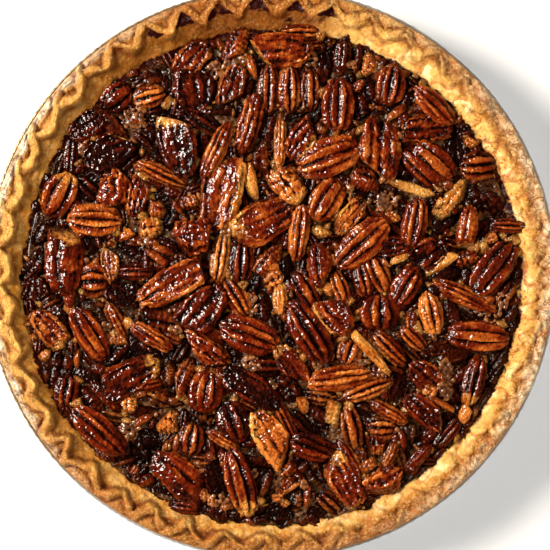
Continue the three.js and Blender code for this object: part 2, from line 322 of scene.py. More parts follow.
# %% The light of the room
bpy.context.scene.world = bpy.data.worlds.new("room")
bpy.context.scene.world.use_nodes = True
sky = Recipe(bpy.context.scene.world.node_tree)
room = sky.tree.nodes["Background"]
ray = sky.node("ShaderNodeSeparateXYZ", {"Vector": sky.node("ShaderNodeTexCoord").outputs["Generated"]})
dark_ceiling = sky.ramp(ray.outputs["Z"], 0.0, 1.0, 0.60, 0.05)
dim_right = sky.ramp(ray.outputs["X"], -1, 1, 1.0, 0.7)
filtered = sky.ramp(sky.node("ShaderNodeLightPath").outputs["Is Glossy Ray"], 0, 1, 1.0, 0.04)
sky.fill(room, {
    "Color": (1.0, 0.98, 0.95),
    "Strength": sky.times(dark_ceiling, sky.times(dim_right, filtered)),
})

# %% [markdown]
# ## Mottling, for everything that was baked
# Baked food is never one colour: heat browns it in soft patches with smaller specks in them. The same
# two noises, a coarse and a fine one, serve the tin, the pastry, the filling and the nuts, each with its
# own sizes, so they are one node group that puts out a patch mask, a speck mask and a height for a bump.

# %% The mottling group
NUMBER = "NodeSocketFloat"
mottling, inside, given, out = new_group("mottling", [
    ("Place", "NodeSocketVector", (0, 0, 0)),
    ("Patch scale", NUMBER, 120.0),
    ("Speck scale", NUMBER, 900.0),
    ("Low", NUMBER, 0.4),
    ("High", NUMBER, 0.65),
], [("Patches", NUMBER), ("Specks", NUMBER), ("Height", NUMBER)])
coarse = inside.grainy(given.outputs["Place"], given.outputs["Patch scale"], 3.0, 0.55)
fine = inside.grainy(given.outputs["Place"], given.outputs["Speck scale"], 2.5, 0.6)
inside.fill(out, {
    "Patches": inside.ramp(coarse, given.outputs["Low"], given.outputs["High"]),
    "Specks": inside.ramp(fine, 0.42, 0.66),
    "Height": inside.plus(inside.times(coarse, 0.6), inside.times(fine, 0.4)),
})


def mottled(recipe, place, patch_scale, speck_scale, low, high):
    """The group's three outputs. Patches go from 0 to 1 while their noise goes from low to high."""
    made = recipe.node("ShaderNodeGroup", node_tree=mottling)
    recipe.fill(made, {"Place": place, "Patch scale": patch_scale, "Speck scale": speck_scale,
                       "Low": low, "High": high})
    return made.outputs["Patches"], made.outputs["Specks"], made.outputs["Height"]


# %% [markdown]
# ## Turned shells
# The tin, the pastry and the filling are all round. A lathe shape is drawn as half a section and spun
# about the middle. By hand that is one vertex, extruded from corner to corner. The Spin tool would turn
# it, but is slow with a thousand steps, so a Screw modifier with no rise does it. The seam and the two
# poles are merged afterwards, so the shell is closed.


# %% A helper that draws a section and spins it
def turned(name, section, steps):
    """section is a list of (radius, height) in metres, from the axis up the outside and back to it."""
    bpy.ops.object.select_all(action="DESELECT")
    bpy.ops.mesh.primitive_plane_add(size=MM)
    obj = bpy.context.object
    obj.name = name
    bpy.ops.object.mode_set(mode="EDIT")
    bpy.ops.mesh.merge(type="CENTER")
    bpy.ops.transform.translate(value=(section[0][0], 0, section[0][1]))
    for (r0, z0), (r1, z1) in zip(section, section[1:]):
        bpy.ops.mesh.extrude_region_move(TRANSFORM_OT_translate={"value": (r1 - r0, 0, z1 - z0)})
    done()
    screw = obj.modifiers.new("turn", "SCREW")
    screw.steps = steps
    screw.render_steps = steps
    screw.use_merge_vertices = True
    apply_modifiers(obj)
    bpy.ops.object.mode_set(mode="EDIT")
    bpy.ops.mesh.select_all(action="SELECT")
    bpy.ops.mesh.remove_doubles(threshold=0.002 * MM)
    bpy.ops.mesh.normals_make_consistent(inside=False)
    done()
    return obj


# %% [markdown]
# ## The foil tin
# A foil pie tin is pressed from one disc of thin aluminium. The wall gathers into fine upright pleats,
# because a flat disc has too much metal for a cone, and the rim is rolled over so that it doesn't cut.
# The tin is turned with four steps to a pleat, and then a wave round its wall pulls the pleats in.

# %% Turn the tin
TIN_RADIUS = 124.4 * MM
TIN_BASE_RADIUS = 95.6 * MM
TIN_WALL_RADIUS = 114.4 * MM
TIN_FOOT = 1.2 * MM               # where the rounding from the base to the wall ends
TIN_FLANGE = 29.8 * MM
FOIL = 0.4 * MM
BEAD = 0.7 * MM
WALL_RINGS = 9
PLEATS = 180
STEPS_PER_PLEAT = 4
PLEAT_DEPTH = 0.95 * MM


def wall_point(share, inwards=0):
    """A point of the wall's section: share goes from 0 at its foot to 1 at its top."""
    return (TIN_BASE_RADIUS - inwards + share * (TIN_WALL_RADIUS - TIN_BASE_RADIUS),
            TIN_FOOT + inwards + share * (TIN_FLANGE - TIN_FOOT))


def bead_point(turn):
    angle = math.radians(turn)
    return (TIN_RADIUS - BEAD + BEAD * math.cos(angle), TIN_FLANGE + 1.2 * MM + BEAD * math.sin(angle))


outline = [(0, 0), (60 * MM, 0), (TIN_BASE_RADIUS - 2.4 * MM, 0), (TIN_BASE_RADIUS - 0.8 * MM, 0.35 * MM)]
outline += [wall_point(ring / WALL_RINGS) for ring in range(WALL_RINGS + 1)]
outline += [(TIN_WALL_RADIUS + 3.5 * MM, TIN_FLANGE + 0.15 * MM),
            (TIN_RADIUS - 2.0 * MM, TIN_FLANGE + 0.3 * MM)]
outline += [bead_point(turn) for turn in range(-70, 171, 40)]
outline += [(TIN_WALL_RADIUS + 3.0 * MM, TIN_FLANGE + 0.15 * MM + FOIL)]
outline += [wall_point(1 - ring / WALL_RINGS, FOIL) for ring in range(WALL_RINGS + 1)]
outline += [(TIN_BASE_RADIUS - 2.6 * MM, FOIL), (60 * MM, FOIL), (0, FOIL)]
tin = turned("foil_tin", outline, PLEATS * STEPS_PER_PLEAT)

# %% Pleat its wall and crinkle its rim
co = places(tin)
radius, angle = polar(co)
up = co[:, 2] / TIN_FLANGE
on_wall = band(0.06, 0.25, 0.9, 1.12, up) * (radius > TIN_BASE_RADIUS - 1.5 * MM)
uneven = 0.7 + 0.3 * np.sin(7 * angle + 1.3) * np.sin(16 * angle)
pleat = (0.5 - 0.5 * np.cos(PLEATS * angle)) * PLEAT_DEPTH * uneven * on_wall
on_rim = smoothstep(TIN_WALL_RADIUS + 2 * MM, TIN_RADIUS - 2 * MM, radius)
crinkle = 0.16 * MM * on_rim * np.sin(2.5 * PLEATS * angle + 3 * np.sin(9 * angle))
scale = 1 - (pleat + np.abs(crinkle)) / np.maximum(radius, MM)
co[:, 0] *= scale
co[:, 1] *= scale
co[:, 2] += crinkle * (up > 0.9)
put_places(tin, co)
only(tin)
bpy.ops.object.shade_smooth_by_angle(angle=math.radians(50))
print("tin triangles:", triangles(tin))

# %% Store where it is folded and where it browned
BROWNED_SIDE = 150                # the heading in degrees where fat ran over the rim
browned = smoothstep(100, 60, degrees_from(angle, BROWNED_SIDE)) * (up > 0.9)
put_values(tin, "fold", pleat / PLEAT_DEPTH)
put_values(tin, "browned", browned * smoothstep(121.5 * MM, 123 * MM, radius))

# %% [markdown]
# Foil is bright metal under a fine haze that scatters light, and the haze is thicker on the rubbed rim.
# So the wall is more metallic than the rim. It mirrors the table, and its colour is darker than the
# rim's, a painted shade, with more painted shade in its pleats. Its roughness varies, dull where it was
# pressed, and a low bump of fine creases breaks up what it mirrors. On one side, fat and syrup have
# baked brown onto the rolled rim.

# %% The foil finish
WALL_END = 26 * MM                # the wall's look fades to the rim's between these heights
RIM_START = 29 * MM

foil, recipe, shader = new_finish("foil")
patches, specks, relief_height = mottled(recipe, recipe.place(), 90.0, 700.0, 0.35, 0.7)
height = recipe.height()
metal = recipe.blend(patches, (0.80, 0.80, 0.78), (0.60, 0.60, 0.58))
# painted shade: the wall's colour is darker than the rim's
metal = recipe.blend(recipe.ramp(height, WALL_END, RIM_START, 0.75, 0), metal, (0.38, 0.38, 0.375))
# painted shade in the pleats
metal = recipe.blend(recipe.number("fold", 0.7), metal, (0.10, 0.10, 0.098))
baked_on = recipe.blend(recipe.ramp(specks, 0.3, 0.7), (0.36, 0.22, 0.07), (0.10, 0.06, 0.02))
recipe.fill(shader, {
    "Base Color": recipe.blend(recipe.number("browned", 0.9), metal, baked_on),
    "Metallic": recipe.ramp(height, WALL_END, RIM_START, 0.9, 0.6),
    "Roughness": recipe.ramp(specks, 0, 1, 0.28, 0.5),
    "Normal": recipe.bump(relief_height, 0.4 * MM, 0.35),
})
tin.data.materials.append(foil)
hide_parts("tin")
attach(tin, "root")


# %% [markdown]
# ## The pastry rim
# The edge of the pastry is fluted: a finger pushes it in between two others, all the way round, which
# leaves a thin standing ridge that runs in a zigzag. On the left of this pie it is round, like a row of
# scallops, and it is pointed at the front and back. The right side browned into a crumbly bank. The
# shell is turned like the tin, with close rings on its rim. Then each vertex of the rim is lifted by how
# far it lies from the zigzag line. Pushing 44 flutes one by one would give the same shape, but not one
# that can be changed by a few numbers.

# %% Where the flutes are
FLUTES = 44
STEPS_PER_FLUTE = 28
RIM_RADIUS = 122.9 * MM
LOBE_RADIUS = 114.1 * MM          # the ridge where it comes closest to the middle
LEFT = 172                        # the heading in degrees in the middle of the lobed side
LAP = 0.12                        # how far a lobe runs out over the next flute


def random_stream(seed):
    """The same repeatable numbers from 0 to 1 that the frame's maker draws its unevenness from."""
    state = seed
    while True:
        state = (state * 1664525 + 1013904223) % 4294967296
        yield state / 4294967296


flute_random = random_stream(7)
shifts, reaches, lifts = [], [], []
for _ in range(FLUTES):
    shifts.append(0.17 * (next(flute_random) - 0.5))
    reaches.append(1 + 0.55 * (next(flute_random) - 0.5))
    lifts.append(1.4 * (next(flute_random) - 0.5))


def notch_angle(index):
    """Where one flute ends and the next starts, in radians."""
    plain = 2 * math.pi * index / FLUTES
    shift = 0.335 + 0.095 * math.cos(plain) + shifts[index % FLUTES]
    return plain + 2 * math.pi * shift / FLUTES


notches = np.array([notch_angle(index) for index in range(-2, FLUTES + 3)])


def flute_place(angle):
    """How many flutes an angle is round the rim: the whole number is the flute, the rest its phase."""
    return np.interp(angle % (2 * math.pi), notches, np.arange(-2, FLUTES + 3))


def lasting(angle, values):
    """A flute's own number, blended from one flute to the next."""
    place = flute_place(angle)
    index = np.floor(place).astype(int)
    share = place - index
    values = np.array(values)
    return values[index % FLUTES] * (1 - share) + values[(index + 1) % FLUTES] * share


def toward(angle, heading, reach):
    """1 on the side of the pie that faces heading, down to 0 at reach degrees from it."""
    return 1 - smoothstep(0.35 * reach, reach, degrees_from(angle, heading))


def ridge_reach(angle, phase):
    """How far from the middle the standing ridge runs. phase goes from 0 to 1 along one flute. On the
    left each flute is a thick round lobe whose far end runs out over the start of the next one."""
    lobed = np.interp(phase, (-LAP, 0.0, 0.1, 0.25, 0.4, 0.55, 0.68, 0.8, 0.9, 1.0),
                      (6.6, 5.5, 4.3, 2.4, 0.9, 0.1, 0.0, 0.6, 1.8, 3.6))
    pointed = 7.5 * np.abs(2 * phase - 1) ** 1.15
    left = toward(angle, LEFT, 62)
    right = toward(angle, 0, 75)
    out = left * lobed + (1 - left) * pointed * (1 - 0.40 * right)
    return LOBE_RADIUS + out * MM * lasting(angle, reaches) ** 0.8


def wall_radius(angle):
    """The inner side of the pastry at the level of the filling. It isn't quite centred on the tin."""
    return 106.5 * MM + 2.2 * MM * np.cos(angle - math.radians(-80))


# %% Turn the shell
TOP_RINGS = 46
RIM_INSIDE = 103 * MM
RIM_LEVEL = 34 * MM               # the rim is turned level, and shaped afterwards

outline = [(0, 0.75 * MM), (50 * MM, 0.75 * MM), (92.5 * MM, 0.75 * MM), (94.3 * MM, 1.4 * MM),
           (104 * MM, 16.6 * MM), (112.6 * MM, 30.3 * MM), (115 * MM, 31.0 * MM), (119.6 * MM, 31.3 * MM),
           (121.4 * MM, 31.7 * MM), (122.5 * MM, 32.2 * MM), (122.9 * MM, 32.9 * MM),
           (122.8 * MM, 33.6 * MM)]
for ring in range(TOP_RINGS):
    inwards = ring / (TOP_RINGS - 1) * (RIM_RADIUS - RIM_INSIDE)
    outline.append((RIM_RADIUS - 0.35 * MM - inwards, RIM_LEVEL))
outline += [(99 * MM, 22 * MM), (91 * MM, 5.4 * MM), (50 * MM, 5.35 * MM), (0, 5.35 * MM)]
crust = turned("pastry_shell", outline, FLUTES * STEPS_PER_FLUTE)
print("crust vertices:", len(crust.data.vertices))

# %% Draw the zigzag line
POINTS_PER_FLUTE = 70
line = KDTree(FLUTES * POINTS_PER_FLUTE)
line_phase = []
for flute in range(FLUTES):
    start, end = notch_angle(flute), notch_angle(flute + 1)
    for phase in np.linspace(-LAP * float(toward(start, LEFT, 62)), 1, POINTS_PER_FLUTE):
        turn = start + phase * (end - start)
        reach = float(ridge_reach(turn, phase))
        line.insert((reach * math.cos(turn), reach * math.sin(turn), 0), len(line_phase))
        line_phase.append(phase)
line.balance()
noise.seed_set(5)                 # else noise_vector is different in each run


def wavering(points, grain, seed):
    """A smooth random shift, up to 1 long, for each point."""
    return np.array([noise.noise_vector(Vector((x / grain, y / grain, seed))) for x, y, _ in points])


def billow(points, grain, seed):
    """Noise folded at zero: 0 along winding clefts, up to about 0.6 on the puffs between them."""
    return np.array([abs(noise.noise(Vector((x / grain, y / grain, seed)))) for x, y, _ in points])


# %% [markdown]
# Hands leave the line uneven, so each vertex looks up the line from a place that is shifted a little.
# What it finds is how far away the line is, on which side of it the vertex lies, and how far along its
# flute. Everything about the rim follows from these three numbers and from the side of the pie.

# %% How far each vertex lies from the line
co = places(crust)
radius, _ = polar(co)
top = np.isclose(co[:, 2], RIM_LEVEL, atol=0.01 * MM) & (radius > RIM_INSIDE - MM)
by_hand = co.copy()
by_hand[top] += 1.5 * MM * wavering(co[top], 7 * MM, 1.5) + 0.3 * MM * wavering(co[top], 2.4 * MM, 9.5)
radius, angle = polar(by_hand)
away = np.zeros(len(co))
phase = np.zeros(len(co))
for index in np.nonzero(top)[0]:
    _, nearest, away[index] = line.find((by_hand[index, 0], by_hand[index, 1], 0))
    phase[index] = line_phase[nearest]
away /= MM
outside = radius > ridge_reach(angle, flute_place(angle) % 1)
signed = np.where(outside, away, -away)
left = toward(angle, LEFT, 75)
right = toward(angle, -10, 95)
rim = radius / MM

# %% The ledge inside the line and the ledge outside it, in mm
wall = wall_radius(angle) / MM
climb = np.clip((rim - wall) / 11, -0.6, 1.2)
inner = 30.4 + 5.6 * climb - 0.7 * climb * (1 - climb)
crease = band(-4.6, -2.2, -1.6, -0.5, signed) * smoothstep(114.8, 117.2, rim)
inner -= 1.5 * crease
edge = smoothstep(118.2, 120.6, rim)
outer = 34.3 - 0.5 * left + 1.2 * right + (1.1 + 1.0 * left) * smoothstep(2.0, 4.4, signed) + 0.4 * edge
outer -= (1.4 - 0.6 * left) * smoothstep(121.2, 122.8, rim)
ground = inner + (outer - inner) * smoothstep(-0.7, 0.6, signed)

# %% The ridge along the line
thick = np.zeros(len(co))
thick[top] = wavering(co[top], 5 * MM, 5.5)[:, 2]
limb = smoothstep(0.42, 0.62, phase) * (1 - left)
crest = 37.05 + 0.9 * left + 0.4 * (1 - left - right) + lasting(angle, lifts)
crest -= left * 1.1 * smoothstep(0.75, 1.0, phase)
crest -= (1 - left) * (1.0 * np.exp(-((phase - 0.5) / 0.05) ** 2)
                       + 2.6 * np.exp(-(np.minimum(phase, 1 - phase) / 0.07) ** 2))
width = (2.0 + 0.25 * left) * (1 - 0.35 * left * smoothstep(0.25, -0.1, phase))
width *= (1 + 0.75 * np.clip(thick, -0.6, 0.8)) * (1.1 - 0.35 * limb)
rope = np.exp(-(away / width) ** np.where(outside, 4.0, 5.0))
above_ground = np.maximum(crest + 0.7 * thick - 0.9 * limb - ground, 0)
height = ground + above_ground * rope * (1 - 0.75 * right)

# %% Layers of dough on the left, and puffs with clefts between them
FLAKE = 1.5                       # from one layer of the dough to the next, in mm
flaky = np.sin(rim * 2 * math.pi / FLAKE + 1.5 * np.sin(5 * angle))
layered = band(119.0, 120.0, 122.0, 122.8, rim) * left
height += 0.45 * flaky * layered
large_puffs = billow(by_hand[top], 7.5 * MM, 3.5)
puffs = np.zeros(len(co))
clefts = np.zeros(len(co))
puffs[top] = large_puffs + 0.45 * billow(by_hand[top], 3.2 * MM, 7.5)
clefts[top] = smoothstep(0.11, 0.03, large_puffs)
height += (0.9 + 3.3 * right) * (1 - 0.7 * layered) * (puffs - 0.25)
co[top, 2] = (height * MM)[top]
put_places(crust, co)


# %% Roughen the dough
def roughen(obj, kind, size, strength, name, middle=0.5):
    """A Displace modifier with a texture of that grain size. Strength is the height of its relief."""
    texture = bpy.data.textures.get(name)
    if texture is None:
        texture = bpy.data.textures.new(name, kind)
        texture.noise_scale = size
        if kind == "CLOUDS":
            texture.noise_depth = 3
    modifier = obj.modifiers.new(name, "DISPLACE")
    modifier.texture = texture
    modifier.texture_coords = "LOCAL"
    modifier.strength = strength
    modifier.mid_level = middle
    return modifier


RIM_TOP = 38.95 * MM              # just under the top of the frame's crust
roughen(crust, "CLOUDS", 6.5 * MM, 1.6 * MM, "hand_pressed")
roughen(crust, "CLOUDS", 1.7 * MM, 1.3 * MM, "flakes")
before = places(crust)
apply_modifiers(crust)
share = np.where(top, 0.74 + 0.26 * right, 0.08)[:, None]
co = before + share * (places(crust) - before)
co[:, 2] = np.minimum(co[:, 2], RIM_TOP)
put_places(crust, co)
shade_smooth(crust)
print("crust box in mm:", [round(float(v) / MM, 1) for v in (*co.min(0), *co.max(0))])
print("crust triangles:", triangles(crust))

# %% [markdown]
# The rim's colour follows its shape: painted highlights lie on the crests and on the pale outer edge,
# painted shade lies in the notches, hollows and creases and at the feet of the ridge, and the boiling
# syrup soaked the wall above the filling. So the masks for its finish are worked out here, from the
# same numbers that gave the shape, and each is stored under its name.


# %% Store the masks that follow the shape, with painted light and shade
def put_top(name, values):
    """Stores a mask for the rim, and 0 for the rest of the shell."""
    put_values(crust, name, np.where(top, values, 0))


signed[~top] = 5
# painted shade on both sides of the ridge and in the notches between the flutes
beside = band(0.80, 1.15, 1.3, 1.9, away / width) * (1 - 0.8 * right) * (1 - 0.1 * left)
painted_notch_shade = smoothstep(0.75, 1.2, -signed / width) * smoothstep(114.0, 116.6, rim) * (1 - 0.7 * right)
# painted shade in the hollow behind the ridge
hollow = smoothstep(1.1, 2.0, signed) * smoothstep(4.2 - 1.2 * left, 2.6 - 0.4 * left, signed)
hollow *= smoothstep(120.6, 119.0, rim) * (1 - 0.25 * left)
# painted shadow at the foot of the ridge, and darker lines in the grooves between the layers
foot = 0.45 * band(-3.2, -1.8, -1.5, -0.9, signed) * (1 - right)
lines = 0.5 * layered * smoothstep(0.0, 0.8, -flaky)
# painted highlight on the crests of the ridge
put_top("crest", rope * (1 - 0.85 * right))
put_top("painted_notch_shade", np.maximum(painted_notch_shade, 0.80 * beside))
put_top("hollow", np.max([hollow, crease, foot, lines], axis=0))
# painted light: the outer edge is paler on the left and the right
put_top("painted_light_pallor", smoothstep(118.8, 120.4, rim) * left + 0.5 * right * smoothstep(116, 119.5, rim))
put_top("pitted", (0.25 + 0.75 * right + 0.35 * left) * smoothstep(113, 117, rim))
put_values(crust, "cleft", clefts * (0.6 + 0.4 * right))

# %% Store the masks that heat and syrup left
degrees = np.degrees(angle)
on_wall = smoothstep(-0.6, -1.6, signed)
boiled_over = band(74, 86, 103, 112, degrees) * on_wall
burnt = smoothstep(0.34, 0.62, toward(angle, 96, 30))
burnt *= smoothstep(-0.9, -1.6, signed) * smoothstep(112.9, 114.8, rim)
wet_wall = on_wall * (0.60 * toward(angle, 178, 75) + 0.95 * band(66, 88, 112, 145, degrees))
stain = smoothstep(3.9, 1.2, rim - wall + 2.2 * toward(angle, 275, 75))
back = np.maximum(band(70, 84, 106, 120, degrees), 0.6 * band(86, 104, 120, 160, degrees))
outer_back = 0.42 * toward(angle, 66, 60) * smoothstep(113, 116, rim)
front = toward(angle, 262, 75) * (0.25 + 0.6 * smoothstep(113, 116, rim))
gold = 0.7 * right + 0.1 * toward(angle, 275, 60) + 0.5 * toward(angle, 62, 40)
put_top("burnt", np.maximum(burnt, 0.33 * boiled_over))
put_top("soaked", np.clip(wet_wall + 0.6 * stain, 0, 1))
put_top("splash", toward(angle, 8, 75) * smoothstep(115.5, 112.0, rim))
put_top("gold", np.clip(gold, 0, 0.8) * smoothstep(115, 112, rim))
put_values(crust, "stain", stain)
put_values(crust, "baked", np.maximum(back, outer_back) + front)

# %% [markdown]
# Baked pastry is pale gold where it stayed soft, and browns first on thin edges and on the side that
# faced the heat. It is dry, so it hardly shines. Patches of brown lie over the pale dough, and darker
# specks, fine winding cracks and pits between the crumbs break it up. Syrup that boiled up has left dark
# stains with a little more gloss.

# %% The pastry finish: dough, painted highlights on its crests, and its browning
pastry, recipe, shader = new_finish("pastry")
patches, specks, relief_height = mottled(recipe, recipe.place(), 170.0, 800.0, 0.38, 0.62)
pitted = recipe.number("pitted")
light_patches = recipe.ramp(recipe.noise(150.0, 2.0), 0.50, 0.66, 0, 0.6)
brown_patches = recipe.ramp(recipe.noise(118.0, 2.0), 0.47, 0.64, 0, 0.55)
dough = recipe.blend(patches, (0.68, 0.350, 0.066), (0.48, 0.185, 0.020))
dough = recipe.blend(light_patches, dough, (0.88, 0.60, 0.21))
dough = recipe.blend(brown_patches, dough, (0.36, 0.115, 0.014))
# painted light on the outer edge, on the left and the right
dough = recipe.blend(recipe.number("painted_light_pallor", 0.95), dough, (1.0, 0.97, 0.74))
# painted highlights on the crests of the ridge
dough = recipe.blend(recipe.number("crest", 0.70), dough, (0.83, 0.455, 0.105))
dough = recipe.blend(recipe.number("gold"), dough, (0.88, 0.51, 0.140))
# painted highlights: cream patches on the gold wall
painted_cream_highlights = recipe.times(recipe.ramp(recipe.noise(125.0, 2.0), 0.50, 0.60), recipe.number("gold"))
dough = recipe.blend(painted_cream_highlights, dough, (1.0, 0.81, 0.40))
browning = recipe.ramp(recipe.noise(330.0, 2.0, 0.5), 0.50, 0.70, 0, 0.5)
dough = recipe.blend(browning, dough, (0.38, 0.120, 0.012))
dough = recipe.blend(recipe.number("baked", 0.92), dough, (0.260, 0.062, 0.0030))

# %% The pastry finish: painted shade in the hollows, then crumbs, pits and cracks
dough = recipe.blend(recipe.number("cleft", 0.85), dough, (0.40, 0.120, 0.018))
patchy = recipe.ramp(recipe.noise(260.0), 0.35, 0.62, 0.55, 1)
# painted shade in the hollows and creases, at the foot of the ridge and in the layers' grooves
dough = recipe.blend(recipe.times(recipe.number("hollow", 0.8), patchy), dough, (0.25, 0.070, 0.008))
dough = recipe.blend(recipe.times(specks, 0.22), dough, (0.34, 0.105, 0.010))
crumbs = recipe.ramp(recipe.noise(900.0, 1.0), 0.54, 0.68, 0, 0.35)
dough = recipe.blend(crumbs, dough, (0.88, 0.60, 0.22))
tanned = recipe.times(recipe.ramp(recipe.noise(190.0, 3.0, 0.6), 0.47, 0.60), pitted)
dough = recipe.blend(recipe.times(tanned, 0.65), dough, (0.50, 0.25, 0.085))
pits = recipe.times(recipe.ramp(recipe.noise(480.0, 2.0), 0.50, 0.64), pitted)
dough = recipe.blend(recipe.times(pits, 0.5), dough, (0.34, 0.135, 0.042))
winding = recipe.maths("ABSOLUTE", recipe.maths("SUBTRACT", recipe.noise(170.0, 2.0, 0.6), 0.5))
fissures = recipe.times(recipe.ramp(winding, 0.0, 0.020, 1, 0), pitted)
dough = recipe.blend(fissures, dough, (0.30, 0.090, 0.010))

# %% The pastry finish: syrup, and painted shade in the notches
wet = recipe.blend(recipe.number("baked"), (0.250, 0.082, 0.0050), (0.135, 0.034, 0.0015))
dough = recipe.blend(recipe.times(recipe.number("soaked"), patchy), dough, wet)
# painted shade in the notches and beside the ridge
dough = recipe.blend(recipe.times(recipe.number("painted_notch_shade"), patchy), dough, (0.105, 0.018, 0.001))
drops = recipe.ramp(recipe.times(recipe.noise(640.0, 2.0), recipe.number("splash")), 0.57, 0.63)
dough = recipe.blend(recipe.times(drops, 0.8), dough, (0.36, 0.065, 0.008))
spread = recipe.plus(recipe.ramp(recipe.noise(420.0), 0.3, 0.7, -0.35, 0.35),
                     recipe.ramp(recipe.noise(125.0, 2.0), 0.3, 0.7, -0.35, 0.35))
charred = recipe.ramp(recipe.plus(recipe.number("burnt"), spread), 0.45, 0.85)
tidemark = recipe.ramp(recipe.plus(recipe.number("stain"), spread), 0.50, 0.85)
syrup = recipe.maths("MAXIMUM", charred, tidemark)
cracked_height = recipe.maths("SUBTRACT", relief_height, recipe.times(fissures, 0.12))
recipe.fill(shader, {
    "Base Color": recipe.blend(syrup, dough, (0.020, 0.0008, 0.0001)),
    "Roughness": recipe.ramp(syrup, 0, 1, 0.75, 0.4),
    "Specular IOR Level": 0.10,
    "Coat Weight": 0.08,
    "Coat Roughness": 0.28,
    "Normal": recipe.bump(cracked_height, 2.8 * MM, recipe.ramp(pitted, 0, 0.25, 0.55, 1.0)),
})
crust.data.materials.append(pastry)
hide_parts("crust")
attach(crust, "root")


# %% [markdown]
# ## The filling
# Eggs, sugar and syrup set to a dark jelly between the nuts. In the oven it boils, so its skin is
# blistered: low swells between the nuts, small bubbles that set as they rose, and dull froth beside
# glossy black pools. It is turned with close rings, and then clouds of two sizes and a layer of cells
# push its skin up and down.

# %% Turn the filling
FILLING_RADIUS = 106.5 * MM
FILLING_RINGS = 110
FILLING_STEPS = 460

outline = [(0, 6 * MM), (45 * MM, 6 * MM), (90 * MM, 6.2 * MM), (103 * MM, 24 * MM),
           (105.6 * MM, 29 * MM)]
for ring in range(FILLING_RINGS):
    outline.append((FILLING_RADIUS * (1 - (ring + 0.2) / FILLING_RINGS), FILLING_LEVEL))
outline.append((0, FILLING_LEVEL))
filling = turned("set_filling", outline, FILLING_STEPS)

# %% Fit it to the wall, where it creeps up a little, and let it boil
co = places(filling)
radius, angle = polar(co)
wall = wall_radius(angle)
swing = (wall + 0.5 * MM) / FILLING_RADIUS
surface = co[:, 2] > FILLING_LEVEL - 0.5 * MM
co[:, :2] *= swing[:, None]
creep = smoothstep(wall - 3 * MM, wall, radius * swing)
co[:, 2] += np.where(surface, (0.5 * creep - 0.2) * MM, 0)
put_places(filling, co)
roughen(filling, "CLOUDS", 11 * MM, 3.2 * MM, "swells")
roughen(filling, "CLOUDS", 3.2 * MM, 1.5 * MM, "blisters")
roughen(filling, "VORONOI", 1.9 * MM, -0.55 * MM, "bubbles", 0.3)
before = places(filling)
apply_modifiers(filling)
share = np.where(surface, 1 - creep, 0.05)[:, None]
put_places(filling, before + share * (places(filling) - before))
shade_smooth(filling)
print("filling triangles:", triangles(filling))

# %% [markdown]
# The jelly is nearly black where it is deep and olive brown where it frothed. It is glossy, so a coat
# with a low roughness lies over it; froth is dull, so the roughness follows the froth mask.

# %% The filling's finish
BUBBLE_SCALE = 620.0              # cells in a metre, so a bubble is about 1.6 mm wide

jelly, recipe, shader = new_finish("set_syrup")
frothy, specks, _ = mottled(recipe, recipe.place(), 55.0, BUBBLE_SCALE, 0.50, 0.66)
skin = recipe.blend(specks, (0.007, 0.002, 0.0008), (0.060, 0.015, 0.003))
foam = recipe.blend(specks, (0.026, 0.007, 0.0018), (0.14, 0.044, 0.010))
cells = recipe.node("ShaderNodeTexVoronoi", {
    "Vector": recipe.place(), "Scale": BUBBLE_SCALE, "Randomness": 1.0})
from_middle = cells.outputs["Distance"]
foam = recipe.blend(recipe.times(recipe.ramp(from_middle, 0.28, 0.62), 0.5), foam, (0.26, 0.105, 0.028))
blisters = recipe.plus(recipe.noise(500.0, 1.0), recipe.ramp(from_middle, 0, 0.6, 0.35, 0))
recipe.fill(shader, {
    "Base Color": recipe.blend(frothy, skin, foam),
    "Roughness": recipe.ramp(frothy, 0, 1, 0.25, 0.5),
    "Specular IOR Level": 0.3,
    "Coat Weight": 0.5,
    "Coat Roughness": 0.08,
    "Normal": recipe.bump(blisters, 0.9 * MM),
})
filling.data.materials.append(jelly)
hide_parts("filling")
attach(filling, "root")


# %% [markdown]
# ## Pecan halves, modelled once for each look
# A pecan half is a long dome with deep furrows along it. Its flat side is rough, with a raised edge and
# a split down the middle. Broken ones are knobbly chunks, and some lie on their side. A ball with its
# poles on the X axis is the start: its meridians run along the nut, 11.25 degrees apart, so a furrow is
# one of them drawn towards the axis. Its rings run across it, so knuckles are every other ring drawn in.

# %% Tools for shaping one nut
AROUND = 32
ALONG = 28
STEP = 360 / AROUND               # from one meridian to the next, in degrees


def blank(name):
    """A ball of radius 1 that lies along X, ready in edit mode."""
    bpy.ops.object.select_all(action="DESELECT")
    bpy.ops.mesh.primitive_uv_sphere_add(
        segments=AROUND, ring_count=ALONG, radius=1, rotation=(0, math.pi / 2, 0))
    obj = bpy.context.object
    obj.name = name
    bpy.ops.object.transform_apply(location=True, rotation=True, scale=True)
    edit(obj)
    return obj


def heading(co):
    """The angle of a point round the nut's long axis: 0 on its right, 90 on top, 180 on its left."""
    return math.degrees(math.atan2(co.z, co.y))


def resize(x=1, y=1, z=1, about=(0, 0, 0)):
    """Scales what is selected about the middle of the nut, or about another point."""
    bpy.ops.transform.resize(value=(x, y, z), center_override=about)


def furrow(obj, at, depth, reach=0.93):
    """Draws the meridian at this heading towards the axis, and the two beside it a little."""
    for half_width, share in ((1.5 * STEP, 0.22 * depth), (0.5 * STEP, 0.9 * depth)):
        pick(obj, lambda co: abs(heading(co) - at) < half_width and abs(co.x) < reach)
        resize(y=1 - share, z=1 - share)


def knuckles(obj, low, high, depth, every=2, reach=0.9):
    """Draws every second ring, or every third, towards the axis between two headings."""
    levels = [math.cos(math.pi * k / ALONG) for k in range(1, ALONG) if k % every == 0]
    pick(obj, lambda co: low <= heading(co) <= high and abs(co.x) < reach
         and min(abs(co.x - level) for level in levels) < 0.01)
    resize(y=1 - depth, z=1 - depth)


